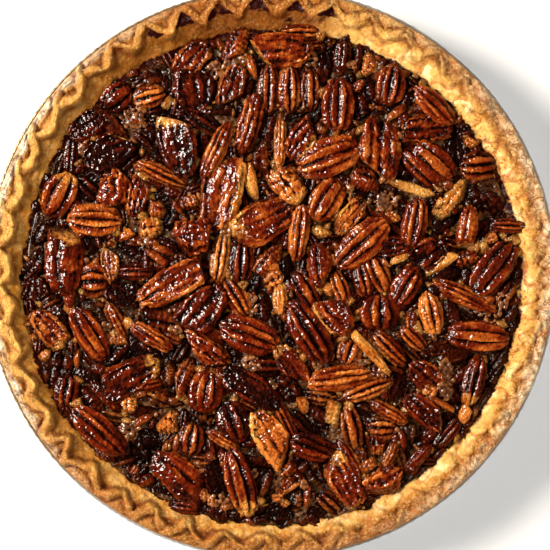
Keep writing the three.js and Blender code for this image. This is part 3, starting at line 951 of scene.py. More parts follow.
def flat_side_down(obj):
    pick(obj, lambda co: co.z < -0.02)
    resize(z=0.5)


def blunt(obj, share=1.1):
    """Makes the nut fuller towards its ends, which an ellipse isn't."""
    pick(obj, lambda co: 0.55 < abs(co.x) < 0.985)
    resize(y=share, z=1.05)


def shaken(obj, amount, seed):
    """Moves every vertex a little at random, and leaves edit mode."""
    bpy.ops.mesh.select_all(action="SELECT")
    bpy.ops.transform.vertex_random(offset=amount, uniform=0.0, normal=0.2, seed=seed)
    done()
    return obj


# %% Halves with their domed side up
def ridged():
    obj = blank("ridged_half")
    blunt(obj)
    furrow(obj, 90, 0.72, 0.98)
    furrow(obj, 45, 0.30)
    furrow(obj, 135, 0.30)
    knuckles(obj, 100, 175, 0.05)
    knuckles(obj, 5, 80, 0.05)
    flat_side_down(obj)
    return shaken(obj, 0.035, 1)


def three_ridged():
    obj = blank("three_ridged_half")
    blunt(obj)
    furrow(obj, 56.25, 0.62, 0.97)
    furrow(obj, 123.75, 0.62, 0.97)
    furrow(obj, 11.25, 0.20)
    furrow(obj, 168.75, 0.20)
    knuckles(obj, 75, 105, 0.04)
    flat_side_down(obj)
    return shaken(obj, 0.03, 2)


def four_ridged():
    obj = blank("four_ridged_half")
    blunt(obj)
    furrow(obj, 90, 0.66, 0.97)
    furrow(obj, 45, 0.5)
    furrow(obj, 135, 0.5)
    flat_side_down(obj)
    return shaken(obj, 0.03, 3)


def smooth_sided():
    """A half that lies on its side, so its furrows are shallow."""
    obj = blank("half_on_its_side")
    blunt(obj, 1.06)
    furrow(obj, 45, 0.5)
    furrow(obj, 90, 0.26, 0.8)
    furrow(obj, 135, 0.3)
    knuckles(obj, -10, 190, 0.07, every=3)
    return shaken(obj, 0.05, 4)


def knuckled():
    obj = blank("knuckled_half")
    blunt(obj)
    knuckles(obj, -10, 190, 0.13, reach=0.95)
    furrow(obj, 67.5, 0.4)
    flat_side_down(obj)
    return shaken(obj, 0.045, 5)


# %% Halves with their flat side up, and broken pieces
def flat_side_up():
    """The flat side: a sunken middle with a low spine, inside a raised edge."""
    obj = blank("underside_half")
    blunt(obj, 1.12)
    pick(obj, lambda co: co.z > 0 and abs(co.x) < 0.9
         and abs(co.y) < 0.72 * math.sqrt(max(0.0, 1 - co.x ** 2)))
    resize(z=0.42)
    furrow(obj, 90, 0.5, 0.99)
    knuckles(obj, 10, 60, 0.08)
    knuckles(obj, 120, 170, 0.08)
    return shaken(obj, 0.07, 6)


def butterfly():
    """A whole flat side whose two lobes part at one end."""
    obj = blank("butterfly_half")
    blunt(obj, 1.15)
    pick(obj, lambda co: co.z > 0 and abs(co.y) < 0.62 and abs(co.x) < 0.92)
    resize(z=0.5)
    furrow(obj, 90, 0.6, 0.99)
    pick(obj, lambda co: co.x > 0.6 and abs(co.y) < 0.16)
    bpy.ops.transform.translate(value=(-0.42, 0, -0.25))
    knuckles(obj, 10, 70, 0.12)
    knuckles(obj, 110, 170, 0.12)
    return shaken(obj, 0.06, 7)


def chunk():
    obj = blank("broken_chunk")
    pick(obj, lambda co: abs(co.x) > 0.6)
    resize(0.86, 1.25, 1.15)
    furrow(obj, 78.75, 0.25)
    knuckles(obj, 0, 180, 0.16, every=3)
    return shaken(obj, 0.11, 8)


def sliver():
    obj = blank("sliver")
    pick(obj, lambda co: co.y < 0.0)
    resize(y=0.6)
    pick(obj, lambda co: co.z > 0.35)
    resize(z=0.6, about=(0, 0, 0.35))
    return shaken(obj, 0.06, 9)


MAKERS = {
    "ridged": ridged,
    "three": three_ridged,
    "four": four_ridged,
    "side": smooth_sided,
    "knuckled": knuckled,
    "under": flat_side_up,
    "butterfly": butterfly,
    "chunk": chunk,
    "sliver": sliver,
}
masters = {kind: make() for kind, make in MAKERS.items()}
print("one nut has", len(masters["ridged"].data.polygons), "faces before it is refined")

# %% [markdown]
# ## Copying and placing a nut
# Each nut is a copy of one of these, with its own wrinkles: the same cloud texture pushes its skin, but
# its empty is moved for every copy, so no two are alike. The lumps' empty is stretched along the nut, and
# that of the finer ribs across it. Then the nut is bent a little, broken, sized, turned and set down.
# How far each point stands out of its smoothed shape is stored, because syrup lies dark in the furrows,
# with painted shade, and the crests get painted highlights.

# %% Tools for a nut's skin
def texture_empty(name, stretch):
    bpy.ops.object.empty_add(location=(0, 0, 0))
    made = bpy.context.object
    made.name = name
    made.scale = stretch
    return made


lump_place = texture_empty("lump_place", (1.6, 0.8, 0.8))
rib_place = texture_empty("rib_place", (0.75, 1.8, 1.8))


def wrinkle(obj, name, size, strength, empty):
    modifier = roughen(obj, "CLOUDS", size, strength, name)
    modifier.texture_coords = "OBJECT"
    modifier.texture_coords_object = empty


def relief(obj, passes=10):
    """How far each vertex stands out of the smoothed shape, in millimetres along its normal."""
    mesh = obj.data
    ends = np.empty(len(mesh.edges) * 2, int)
    mesh.edges.foreach_get("vertices", ends)
    first, second = ends.reshape(-1, 2).T
    count = np.bincount(ends, minlength=len(mesh.vertices))[:, None]
    co = places(obj)
    smooth = co.copy()
    for _ in range(passes):
        total = np.stack([np.bincount(first, smooth[second, k], len(co))
                          + np.bincount(second, smooth[first, k], len(co)) for k in range(3)], axis=1)
        smooth = 0.35 * smooth + 0.65 * total / count
    normals = np.empty(len(co) * 3)
    mesh.vertices.foreach_get("normal", normals)
    return ((co - smooth) * normals.reshape(-1, 3)).sum(1) / MM


# %% Break a nut, and tell where its meat shows
HALF_LENGTH = 1.05                # of a nut before it is sized
WHOLE = 360                       # a pale heading that stands for pale all over
nut_random = random.Random(11)


def broken(co, breaks):
    """Lays what is beyond a slanting plane onto that plane, which leaves a flat break at that end. Keeps
    the length, and tells how freshly broken each point is."""
    fresh = np.zeros(len(co))
    for _ in range(breaks):
        way = math.radians(nut_random.choice((0, 180)) + nut_random.uniform(-42, 42))
        normal = np.array([math.cos(way), math.sin(way), nut_random.uniform(-0.1, 0.5)])
        normal /= np.linalg.norm(normal)
        beyond = co @ normal - nut_random.uniform(0.45, 0.75)
        co -= 0.9 * np.maximum(beyond, 0)[:, None] * normal
        fresh = np.maximum(fresh, smoothstep(0.0, 0.10, beyond))
    low, high = co[:, 0].min(), co[:, 0].max()
    co[:, 0] = 2 * HALF_LENGTH * (co[:, 0] - low) / (high - low) - HALF_LENGTH
    return fresh


def pale_side(co, turn, pale):
    """How pale each point of a nut is that heads that way. pale is the heading of its paler side."""
    if pale is None:
        return np.zeros(len(co))
    if pale == WHOLE:
        return np.ones(len(co))
    local = math.radians(pale - turn)
    along = co[:, 0] * math.cos(local) + co[:, 1] * math.sin(local)
    return smoothstep(0.25, 1.05, along + 0.25 * co[:, 2])


# %% Copy, wrinkle and place a nut
# How far each look's corners are thrown about, how high its wrinkles are, and how often it is broken.
UNEVEN = {"ridged": 0.05, "three": 0.05, "four": 0.045, "side": 0.03, "knuckled": 0.06,
          "under": 0.07, "butterfly": 0.06, "chunk": 0.10, "sliver": 0.06}
LUMPS = {"ridged": 0.22, "three": 0.20, "four": 0.20, "side": 0.34, "knuckled": 0.28,
         "under": 0.36, "butterfly": 0.34, "chunk": 0.42, "sliver": 0.30}
BREAKS = {"under": 1, "butterfly": 1, "chunk": 2, "knuckled": 1, "sliver": 1}
LUMP_SIZE = 0.34                  # where 1 is half a nut's length
RIB_SIZE = 0.10


def copied(obj, name):
    """A copy with its own mesh."""
    made = obj.copy()
    made.data = obj.data.copy()
    made.name = name
    bpy.context.collection.objects.link(made)
    return made


def place_nut(name, kind, x, y, top, size, turn, tone, pale=None, fine=False):
    """x, y and top in mm, size as (length, width, thickness) in mm, turn in degrees. tone goes from 0,
    dark, to 1, bright. A fine nut has four times the faces."""
    obj = copied(masters[kind], name)
    edit(obj)
    shaken(obj, UNEVEN[kind], nut_random.randrange(9999))
    for empty in (lump_place, rib_place):
        empty.location = [nut_random.uniform(-50, 50) for _ in range(3)]
    bpy.context.view_layer.update()
    if fine:
        subdivision = obj.modifiers.new("refine", "SUBSURF")
        subdivision.levels = 1
        subdivision.render_levels = 1
    lumpy = LUMPS[kind]
    wrinkle(obj, "lumps", LUMP_SIZE, lumpy, lump_place)
    wrinkle(obj, "ribs", RIB_SIZE, 0.35 * lumpy + 0.03, rib_place)
    curve = obj.modifiers.new("bend", "SIMPLE_DEFORM")
    curve.deform_method = "BEND"
    curve.deform_axis = "Z"
    curve.angle = math.radians(nut_random.uniform(-22, 22))
    apply_modifiers(obj)

    co = places(obj)
    fresh = broken(co, BREAKS.get(kind, 0))
    put_places(obj, co)
    fresh *= nut_random.uniform(0.0, 0.75)
    put_values(obj, "pale", np.maximum(pale_side(co, turn, pale), fresh))
    put_values(obj, "tone", np.full(len(co), tone))
    length, width, thickness = size
    offset = [nut_random.uniform(0, 300) for _ in range(3)]
    drawn_out = np.array([0.55 * length / 2, width / 2, thickness / 2])     # makes the patches long
    put_vectors(obj, "grain", co * drawn_out + offset)
    obj.scale = (length / 2 * MM, width / 2 * MM, thickness / 2 * MM)
    obj.rotation_euler = (math.radians(nut_random.uniform(-9, 9)),
                          math.radians(nut_random.uniform(-5, 5)), math.radians(turn))
    only(obj)
    bpy.ops.object.transform_apply(location=False, rotation=True, scale=True)
    co = places(obj)
    co += np.array([x * MM, y * MM, top * MM - co[:, 2].max()])
    put_places(obj, co)
    put_values(obj, "relief", relief(obj))
    bpy.ops.object.shade_smooth()
    return obj


# %% [markdown]
# ## The large nuts
# Each of the large nuts is a solid of the frame, so its place, length, width and height are measured on
# that solid. What the frame can't say is how the nut looks: which of the masters it is, which way it
# heads, how dark it roasted, and on which side its paler meat shows. That is one row for each nut.

# %% How each large nut looks
# Each row is the heading in degrees, the look, the tone and, where one side is pale, its heading.
LARGE = {
    "pecan_01": (27, "under", 0.56, 200),
    "pecan_02": (78, "under", 0.58, -10),
    "pecan_03": (20, "ridged", 0.6),
    "pecan_04": (42, "ridged", 0.6),
    "pecan_05": (28, "under", 0.62),
    "pecan_06": (-20, "four", 0.45),
    "pecan_07": (-58, "four", 0.35),
    "pecan_08": (50, "under", 0.3),
    "pecan_09": (83, "ridged", 0.7),
    "pecan_10": (95, "knuckled", 0.45),
    "pecan_11": (58, "three", 0.6),
    "pecan_12": (-52, "chunk", 0.8, -40),
    "pecan_13": (8, "chunk", 0.5),
    "pecan_14": (-50, "under", 0.5, 215),
    "pecan_15": (80, "ridged", 0.6),
    "pecan_16": (88, "butterfly", 0.6),
    "pecan_17": (-42, "three", 0.5),
    "pecan_18": (87, "four", 0.5),
    "pecan_19": (55, "under", 0.5, -30),
    "pecan_20": (75, "side", 0.5),
    "pecan_21": (65, "side", 0.65),
    "pecan_22": (103, "under", 0.25, 100),
    "pecan_23": (28, "under", 0.12),
    "pecan_24": (80, "chunk", 0.6),
    "pecan_25": (-3, "four", 0.75),
    "pecan_26": (-58, "three", 0.5),
    "pecan_27": (-32, "side", 0.6),
    "pecan_28": (-35, "chunk", 0.6),
    "pecan_29": (28, "under", 0.35, 25),
    "pecan_30": (80, "four", 0.45),
    "pecan_31": (-30, "under", 0.2),
    "pecan_32": (-55, "under", 0.5, 125),
    "pecan_33": (8, "ridged", 0.7),
    "pecan_34": (-48, "sliver", 0.9, WHOLE),
    "pecan_35": (92, "four", 0.45),
    "pecan_36": (60, "ridged", 0.5),
    "pecan_37": (-78, "ridged", 0.85),
    "pecan_38": (-70, "ridged", 0.3),
    "pecan_39": (-20, "ridged", 0.3),
    "pecan_40": (-40, "under", 0.35),
    "pecan_41": (52, "three", 0.38),
    "pecan_42": (82, "knuckled", 0.6),
    "pecan_43": (-25, "side", 0.65),
    "pecan_44": (-45, "ridged", 0.55),
    "pecan_45": (80, "four", 0.5),
    "pecan_46": (0, "under", 0.55),
    "pecan_47": (88, "under", 0.25),
    "pecan_48": (62, "three", 0.5, 62),
    "pecan_49": (88, "knuckled", 0.4),
    "pecan_50": (-42, "ridged", 0.45),
    "pecan_51": (-40, "knuckled", 0.4),
    "pecan_52": (-75, "three", 0.4, -80),
    "pecan_53": (-58, "under", 0.85, 180),
    "pecan_54": (-60, "under", 0.5, 110),
    "pecan_55": (28, "chunk", 0.55),
    "pecan_56": (76, "ridged", 0.4, -100),
    "pecan_57": (-5, "three", 0.5),
}
UNDER_FILLING = 2.6               # how far a nut reaches under the filling, in mm
OVERLAP = 1.07                    # a nut was trimmed where another lies over it


def measured(node, turn):
    """The middle, length and width in mm of a CAD nut that heads that way, and the height of its top."""
    co = places(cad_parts[node]) / MM
    along = np.array([math.cos(math.radians(turn)), math.sin(math.radians(turn))])
    across = np.array([-along[1], along[0]])
    u, v = co[:, :2] @ along, co[:, :2] @ across
    x, y = along * (u.max() + u.min()) / 2 + across * (v.max() + v.min()) / 2
    return x, y, (u.max() - u.min()) * OVERLAP, (v.max() - v.min()) * OVERLAP, co[:, 2].max()


# %% Place the large nuts
large_nuts = []
taken = []                        # the place, half length, half width and heading of every nut
for node, (turn, kind, tone, *pale) in LARGE.items():
    x, y, length, width, top = measured(node, turn)
    size = (length, width, top - FILLING_LEVEL / MM + UNDER_FILLING)
    made = place_nut(node.replace("pecan", "nut"), kind, x, y, top, size, turn, tone, *pale, fine=True)
    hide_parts(node)
    large_nuts.append(made)
    taken.append((x, y, length / 2, width / 2, turn))
print(len(large_nuts), "large nuts,", sum(triangles(nut) for nut in large_nuts), "triangles")

# %% [markdown]
# ## The nuts between them
# The gaps are full of smaller halves and pieces, which lie lower and partly under the large ones. They
# are placed one by one too, in millimetres from the middle of the pie. The small broken bits that catch
# the eye come last.

# %% Where the smaller nuts lie
# Each row is x, y, length, width, heading, look, tone and, where one side is pale, its heading.
SMALLER = [
    (-67, 77, 13, 12, 40, "three", 0.25),
    (-53, 77, 13, 9, 15, "ridged", 0.6),
    (-58, 66, 9, 3, -15, "sliver", 0.75),
    (-56, 58, 10, 3, -45, "sliver", 0.3),
    (-81, 64, 14, 10, 35, "under", 0.12),
    (-87, 51, 16, 6, 85, "ridged", 0.2),
    (-34, 94, 17, 11, 48, "under", 0.45),
    (-15, 100, 17, 9, 62, "knuckled", 0.5),
    (-17, 82, 18, 10, 72, "under", 0.5),
    (-8, 90, 10, 4, 103, "sliver", 0.8),
    (-1, 80, 20, 9, 88, "ridged", 0.5),
    (8, 80, 19, 9, 90, "ridged", 0.55),
    (-23, 70, 14, 3, -3, "sliver", 0.2),
    (13, 105, 15, 7, 0, "ridged", 0.5),
    (31, 95, 13, 7, 85, "side", 0.25),
    (43, 91, 10, 6, 80, "chunk", 0.85),
    (17, 80, 17, 8, 90, "three", 0.5),
    (55, 70, 10, 4, 35, "sliver", 0.75),
    (4, 58, 22, 5, 88, "side", 0.75),
    (68, 63, 19, 11, 3, "under", 0.35),
    (65, 46, 21, 9, -45, "three", 0.3),
    (90, 47, 15, 12, 5, "four", 0.45),
    (60, 37, 20, 5, -20, "sliver", 1, WHOLE),
    (79, 33, 21, 7, 50, "chunk", 1, WHOLE),
    (103, 21, 14, 6, -3, "ridged", 0.35),
    (69, 9, 16, 12, 30, "under", 0.3),
    (74, 4, 16, 6, 35, "sliver", 1, WHOLE),
    (85, 7, 10, 6, 20, "chunk", 0.45),
    (-58, 34, 17, 8, 77, "under", 0.5),
    (-47, 43, 22, 7, -25, "ridged", 0.65),
    (-53, 20, 12, 9, 10, "chunk", 0.8, 30),
    (-70, 4, 15, 7, 95, "under", 0.8, 90),
    (-77, -3, 11, 14, 0, "four", 0.5),
    (-59, 1, 15, 7, 0, "ridged", 0.25),
    (-54, 7, 8, 3, 90, "sliver", 0.5),
    (-8, 40, 15, 6, 100, "sliver", 0.9, WHOLE),
    (-22, 8, 21, 8, 82, "ridged", 0.85),
    (-13, 5, 17, 10, 86, "four", 0.3),
    (-1, 6, 15, 8, 50, "knuckled", 0.5),
    (1, -3, 10, 9, 30, "chunk", 0.7),
    (-47, 10, 9, 4, -20, "sliver", 0.6),
    (-50, 7, 11, 4, -35, "sliver", 0.6),
    (-49, 28, 8, 7, 0, "chunk", 0.5),
    (-41, 29, 7, 3, -50, "sliver", 0.6),
    (-36, 31, 8, 6, 20, "chunk", 0.5),
    (34, 25, 17, 8, 50, "under", 0.8, 150),
    (41, 41, 13, 10, -20, "knuckled", 0.5),
    (53, 12, 15, 8, 10, "under", 0.15),
    (47, 0, 16, 9, -65, "three", 0.5),
    (40, -2, 15, 8, -78, "ridged", 0.4),
    (-96, -24, 19, 10, -50, "under", 0.7, -60),
    (-87, -10, 10, 5, 85, "sliver", 0.7),
    (-67, -21, 17, 6, -65, "side", 0.7),
    (-15, -10, 17, 9, -60, "ridged", 0.55),
    (-38, -45, 17, 8, 65, "knuckled", 0.45),
    (-89, -51, 13, 10, 80, "four", 0.3),
    (-72, -53, 17, 5, -45, "side", 0.4),
    (-62, -56, 8, 7, 90, "chunk", 0.9),
    (-45, -64, 10, 10, 0, "chunk", 0.85, 120),
    (-56, -64, 9, 4, 30, "sliver", 0.7),
    (-35, -72, 13, 11, 80, "four", 0.5),
    (-41, -74, 8, 3, 80, "sliver", 0.75),
    (-21, -72, 14, 5, -30, "side", 0.75),
    (-53, -48, 10, 6, 10, "ridged", 0.45),
    (-84, -37, 8, 3, 90, "sliver", 0.7),
    (-38, -101, 12, 6, -10, "ridged", 0.2),
    (4, -11, 13, 6, 90, "side", 0.95, 90),
    (15, -7, 17, 9, -60, "three", 0.35),
    (30, -6, 14, 7, -70, "three", 0.5),
    (51, -32, 18, 8, -45, "ridged", 0.5, 225),
    (34, -34, 10, 10, 70, "four", 0.5),
    (42, -50, 21, 8, 20, "ridged", 0.65),
    (62, -28, 13, 7, -45, "three", 0.5),
    (67, -44, 15, 11, -40, "under", 0.4),
    (73, -56, 13, 3, -30, "sliver", 0.7),
    (51, -60, 17, 6, -30, "side", 0.6),
    (48, -67, 12, 10, 0, "four", 0.5),
    (77, -69, 15, 6, 50, "ridged", 0.3),
    (7, -66, 23, 6, -65, "ridged", 0.45),
    (27, -60, 10, 6, 80, "chunk", 1, WHOLE),
    (34, -80, 18, 6, -58, "side", 0.45),
    (35, -67, 18, 9, -78, "three", 0.5),
    (46, -74, 10, 9, 0, "chunk", 0.5),
    (52, -78, 12, 5, 65, "side", 0.7),
    (57, -72, 8, 3, -80, "sliver", 0.6),
    (64, -80, 15, 5, 45, "side", 0.5),
    (9, -93, 9, 3, 35, "sliver", 0.8),
    (16, -97, 9, 3, 85, "sliver", 0.6),
    (7, -85, 8, 5, 40, "chunk", 0.6),
    (21.8, 103.5, 4.8, 3.9, 20, "chunk", 0.7, WHOLE),
    (37.8, 81.8, 5.7, 3.9, 60, "chunk", 0.5),
    (86.6, 57.0, 5.7, 3.9, -30, "chunk", 0.9),
    (73.5, 30.9, 4.3, 3.0, 60, "sliver", 0.8, WHOLE),
    (76.1, 26.5, 4.3, 3.0, -20, "chunk", 0.8, WHOLE),
    (94.8, 15.2, 6.1, 4.3, 20, "chunk", 0.9),
    (95.3, 9.6, 6.1, 3.9, -10, "chunk", 0.6),
    (-57.0, 46.1, 5.2, 4.8, 0, "chunk", 0.6),
    (-62.6, 16.5, 6.5, 4.8, 30, "sliver", 0.7),
    (21.3, 18.3, 8.7, 5.2, 10, "chunk", 0.8, WHOLE),
    (47.0, 26.5, 5.2, 3.9, 30, "chunk", 0.7, 90),
    (53.1, 25.2, 6.5, 3.9, -40, "chunk", 0.85),
    (56.1, 6.5, 8.7, 4.3, 25, "sliver", 0.8, WHOLE),
    (-97.9, -35.2, 5.7, 3.9, 40, "chunk", 0.9),
    (-91.8, -30.9, 5.2, 3.5, 20, "chunk", 0.8, WHOLE),
    (-65.7, -28.7, 6.1, 4.3, 0, "chunk", 0.7, 200),
    (-21.3, -78.7, 5.7, 3.9, 60, "chunk", 0.6),
    (-26.5, -79.6, 5.2, 3.5, -30, "chunk", 0.55),
    (-50.9, -43.1, 5.7, 3.9, 30, "chunk", 0.6, 180),
    (-74.8, -41.8, 6.5, 5.2, -20, "sliver", 0.45),
    (-53.9, -89.6, 6.5, 4.8, 20, "knuckled", 0.5),
    (-59.2, -85.3, 4.8, 3.5, 60, "chunk", 0.6),
    (-29.6, -96.1, 6.1, 3.9, 80, "chunk", 0.9),
    (-26.1, -97.9, 5.2, 3.5, 100, "chunk", 0.85),
    (0.0, 2.6, 6.1, 4.3, 0, "sliver", 0.85),
    (33.9, -11.3, 5.7, 4.3, 40, "chunk", 0.8, WHOLE),
    (60.9, -20.9, 7.8, 4.3, 80, "chunk", 0.6),
    (69.2, -50.5, 7.4, 5.7, -20, "chunk", 0.9),
    (84.8, -60.9, 7.8, 5.7, 70, "sliver", 0.9),
    (68.3, -70.5, 7.4, 5.7, 30, "chunk", 0.25),
    (33.5, -59.6, 7.8, 3.9, 80, "chunk", 0.8, WHOLE),
    (13.5, -57.0, 7.4, 5.2, -70, "sliver", 0.85),
    (42.2, -83.1, 8.7, 4.3, 30, "chunk", 0.85),
    (3.0, -97.4, 5.2, 3.9, 0, "chunk", 0.9),
    (5.7, -99.6, 4.8, 3.5, -30, "chunk", 0.8, WHOLE),
    (7.0, -91.3, 6.5, 4.8, 30, "chunk", 0.55),
]

# %% Place the smaller nuts
BROKEN_LENGTH = 1.12              # breaks and wrinkles make a nut look smaller than it is
BROKEN_WIDTH = 1.15
SMALLER_TOP = 33.3                # in mm, and the wide ones rise a little above it

by_look = {}
for x, y, length, width, turn, kind, tone, *pale in SMALLER:
    length *= BROKEN_LENGTH
    width *= BROKEN_WIDTH
    thickness = min(7.5, max(4.2, 0.75 * width))
    top = SMALLER_TOP + min(1.8, 0.17 * width) + nut_random.uniform(-0.4, 0.5)
    made = place_nut("smaller", kind, x, y, top, (length, width, thickness), turn, tone, *pale)
    by_look.setdefault(kind, []).append(made)
    taken.append((x, y, length / 2, width / 2, turn))
print(len(SMALLER), "smaller nuts")

# %% [markdown]
# ## The layer below
# Under the nuts that show lie more of them, which fill the gaps. Where each one goes is found: of many
# random points the one with the most room is taken, and of some headings the one that fits best. The
# nuts of one look are then joined, because nothing needs them apart.


# %% Find the room between the nuts
FILLED_REACH = 108                # in mm, just over the radius of the filling


def room_at(points):
    """How far in mm each point lies outside the nearest nut or inside the wall; below zero is covered."""
    x, y, long, wide, turn = np.array(taken).T
    cos, sin = np.cos(np.radians(turn)), np.sin(np.radians(turn))
    dx, dy = points[:, :1] - x, points[:, 1:] - y
    u, v = (dx * cos + dy * sin) / long, (dy * cos - dx * sin) / wide
    to_nut = ((np.hypot(u, v) - 1) * np.sqrt(long * wide)).min(axis=1)
    distance, angle = polar(points)
    return np.minimum(to_nut, wall_radius(angle) / MM + 1.0 - distance)


def random_points(count):
    reach = [FILLED_REACH * math.sqrt(nut_random.random()) for _ in range(count)]
    turn = [nut_random.uniform(0, 2 * math.pi) for _ in range(count)]
    return np.array([(r * math.cos(t), r * math.sin(t)) for r, t in zip(reach, turn)])


def roomiest(tries):
    """The one of some random points that lies farthest from every nut, and its room in mm."""
    points = random_points(tries)
    space = room_at(points)
    return *points[space.argmax()], space.max()


def room_for_ends(x, y, length, turn):
    """How much room both ends of a nut have, if it lies here and heads that way."""
    way = np.array([math.cos(math.radians(turn)), math.sin(math.radians(turn))])
    return room_at(np.array([x, y]) + 0.4 * length * np.array([-way, way])).sum()


# %% Fill the gaps with a lower layer
LOWER = 190
LOWER_TOP = 32.3                  # in mm
LOWER_KINDS = ["ridged", "three", "four", "under", "chunk", "chunk", "sliver", "knuckled"]
for _ in range(LOWER):
    x, y, room = roomiest(160)
    width = min(11.0, max(5.5, 2.6 * room + nut_random.uniform(0.5, 3.0)))
    length = width * nut_random.uniform(1.15, 2.1)
    turns = [nut_random.uniform(0, 180) for _ in range(6)]
    turn = max(turns, key=lambda turn: room_for_ends(x, y, length, turn))
    kind = nut_random.choice(LOWER_KINDS)
    tone = nut_random.uniform(0.05, 0.55)
    pale = [nut_random.uniform(0, 359)] if nut_random.random() < 0.2 else []
    top = LOWER_TOP + nut_random.uniform(-0.3, 1.1)
    made = place_nut("lower", kind, x, y, top, (length, width, min(6.0, 0.8 * width)), turn, tone, *pale)
    by_look.setdefault(kind, []).append(made)
    taken.append((x, y, length / 2, width / 2, turn))
print("room left between the nuts in mm:", round(float(room_at(random_points(2000)).max()), 1))


# %% Join the nuts of one look
def joined(name, objects):
    bpy.ops.object.select_all(action="DESELECT")
    for obj in objects:
        obj.select_set(True)
    bpy.context.view_layer.objects.active = objects[0]
    bpy.ops.object.join()
    made = bpy.context.object
    made.name = name
    return made


smaller_nuts = [joined("more_" + kind, objects) for kind, objects in by_look.items()]
for obj in smaller_nuts:
    print(obj.name, triangles(obj), "triangles")
for obj in (*masters.values(), lump_place, rib_place):
    bpy.data.objects.remove(obj)

# %% [markdown]
# ## Chips and crumbs
# Broken corners of nuts, a few millimetres large, lie in every gap. Each one is a coarse ball whose
# corners are thrown about at random. A third of them show pale meat.


# %% Strew the chips
def coarse_ball():
    """A ball of radius 1 with few faces, and its corners."""
    bpy.ops.object.select_all(action="DESELECT")
    bpy.ops.mesh.primitive_ico_sphere_add(subdivisions=2, radius=1)
    return bpy.context.object, places(bpy.context.object)


def thrown_about(corners, most):
    """A random shift for each corner."""
    return np.array([[nut_random.uniform(-most, most) for _ in range(3)] for _ in corners])


CHIPS = 620
grit, ball = coarse_ball()
chips = []
for index in range(CHIPS):
    x, y, _ = roomiest(14)
    chip = copied(grit, "chip")
    size = nut_random.uniform(0.8, 2.3) if index % 4 else nut_random.uniform(2.0, 3.6)
    shape = np.array([size, size * nut_random.uniform(0.45, 0.8), size * nut_random.uniform(0.4, 0.7)])
    jitter = thrown_about(ball, 0.26)
    turn = nut_random.uniform(0, 2 * math.pi)
    co = (ball + jitter) * shape
    put_vectors(chip, "grain", co + 3 * index)
    cos, sin = math.cos(turn), math.sin(turn)
    co[:, :2] = co[:, :2] @ np.array([(cos, sin), (-sin, cos)])
    top = FILLING_LEVEL / MM + 0.6 + 0.5 * size + nut_random.uniform(0, 0.8)
    co += np.array([x, y, top - co[:, 2].max()])
    put_places(chip, co * MM)
    put_values(chip, "tone", np.full(len(co), nut_random.uniform(0.2, 0.95)))
    put_values(chip, "pale", np.full(len(co), nut_random.choice([0.0, 0.0, 0.9])))
    put_values(chip, "relief", 0.25 * jitter[:, 2])
    chips.append(chip)
bpy.data.objects.remove(grit)
chips = joined("chips", chips)
shade_smooth(chips)
smaller_nuts.append(chips)
print("chips:", triangles(chips), "triangles")

# %% [markdown]
# ## Froth
# Where the syrup boiled longest it set as froth: clusters of bubbles one to three millimetres across, tan
# on their crests and dark between. Each is a small flat ball, sunk in the filling or heaped on others.
# The largest clusters lie where this pie has them, and small ones are strewn about in the gaps. A voxel
# remesh then fuses the balls into one lumpy skin, as bubbles that touch share their walls.

# %% Where the clusters lie
# Each cluster is x, y, half its length, half its width, its heading and how many bubbles it holds.
clusters = [
    (76, -46, 9, 3.5, 95, 90),
    (41, -35, 9, 4, 20, 80),
    (-9, -40, 5, 4, 40, 50),
    (-9, -13, 5, 3, 90, 40),
    (98, -18, 10, 9, 70, 110),
    (49, 32, 7, 4, 0, 60),
    (-24, -100, 6, 4, 0, 50),
    (-61, -68, 5, 4, 60, 45),
    (-60, 67, 6, 4, 150, 60),
    (-25, 88, 5, 4, 30, 40),
    (-83, 5, 6, 3, 80, 45),
    (60, 62, 5, 4, 30, 40),
]
SMALL_CLUSTERS = 34
for _ in range(SMALL_CLUSTERS):
    x, y, _ = roomiest(12)
    clusters.append((x, y, nut_random.uniform(1.5, 4.0), nut_random.uniform(1.2, 2.5),
                     nut_random.uniform(0, 180), nut_random.randrange(8, 22)))

# %% Blow the bubbles
FROTH_REACH = 103.5               # in mm from the middle; the wall is near beyond that
BUBBLE_SHAPE = np.array([1, 1, 0.6])

drop, ball = coarse_ball()
bubbles = []
for x, y, long, wide, turn, count in clusters:
    cos, sin = math.cos(math.radians(turn)), math.sin(math.radians(turn))
    for _ in range(count):
        out, way = math.sqrt(nut_random.random()), nut_random.uniform(0, 2 * math.pi)
        u, v = out * long * math.cos(way), out * wide * math.sin(way)
        size = nut_random.uniform(0.45, 1.35)
        level = FILLING_LEVEL / MM + 0.7 + nut_random.uniform(0, 1.3)
        middle = np.array([x + u * cos - v * sin, y + u * sin + v * cos, level])
        if math.hypot(middle[0], middle[1]) > FROTH_REACH:
            continue
        bubble = copied(drop, "bubble")
        put_places(bubble, ((ball + thrown_about(ball, 0.22)) * BUBBLE_SHAPE * size + middle) * MM)
        bubbles.append(bubble)
bpy.data.objects.remove(drop)
print(len(bubbles), "bubbles")

# %% Fuse them into one skin
froth = joined("froth", bubbles)
fuse = froth.modifiers.new("fuse", "REMESH")
fuse.mode = "VOXEL"
fuse.voxel_size = 0.30 * MM
soften = froth.modifiers.new("soften", "SMOOTH")
soften.iterations = 2
apply_modifiers(froth)
put_values(froth, "tone", smoothstep(-0.06, 0.20, relief(froth, 16)))
shade_smooth(froth)
print("froth:", triangles(froth), "triangles")

# %% The froth's finish
foam, recipe, shader = new_finish("froth")
patches, specks, _ = mottled(recipe, recipe.place(), 140.0, 900.0, 0.4, 0.62)
tan = recipe.blend(recipe.number("tone"), (0.04, 0.008, 0.002), (0.30, 0.095, 0.022))
recipe.fill(shader, {
    "Base Color": recipe.blend(recipe.times(patches, 0.75), tan, (0.050, 0.014, 0.003)),
    "Roughness": recipe.ramp(specks, 0, 1, 0.3, 0.5),
    "Coat Weight": 0.8,
    "Coat Roughness": 0.06,
})
froth.data.materials.append(foam)
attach(froth, "root")

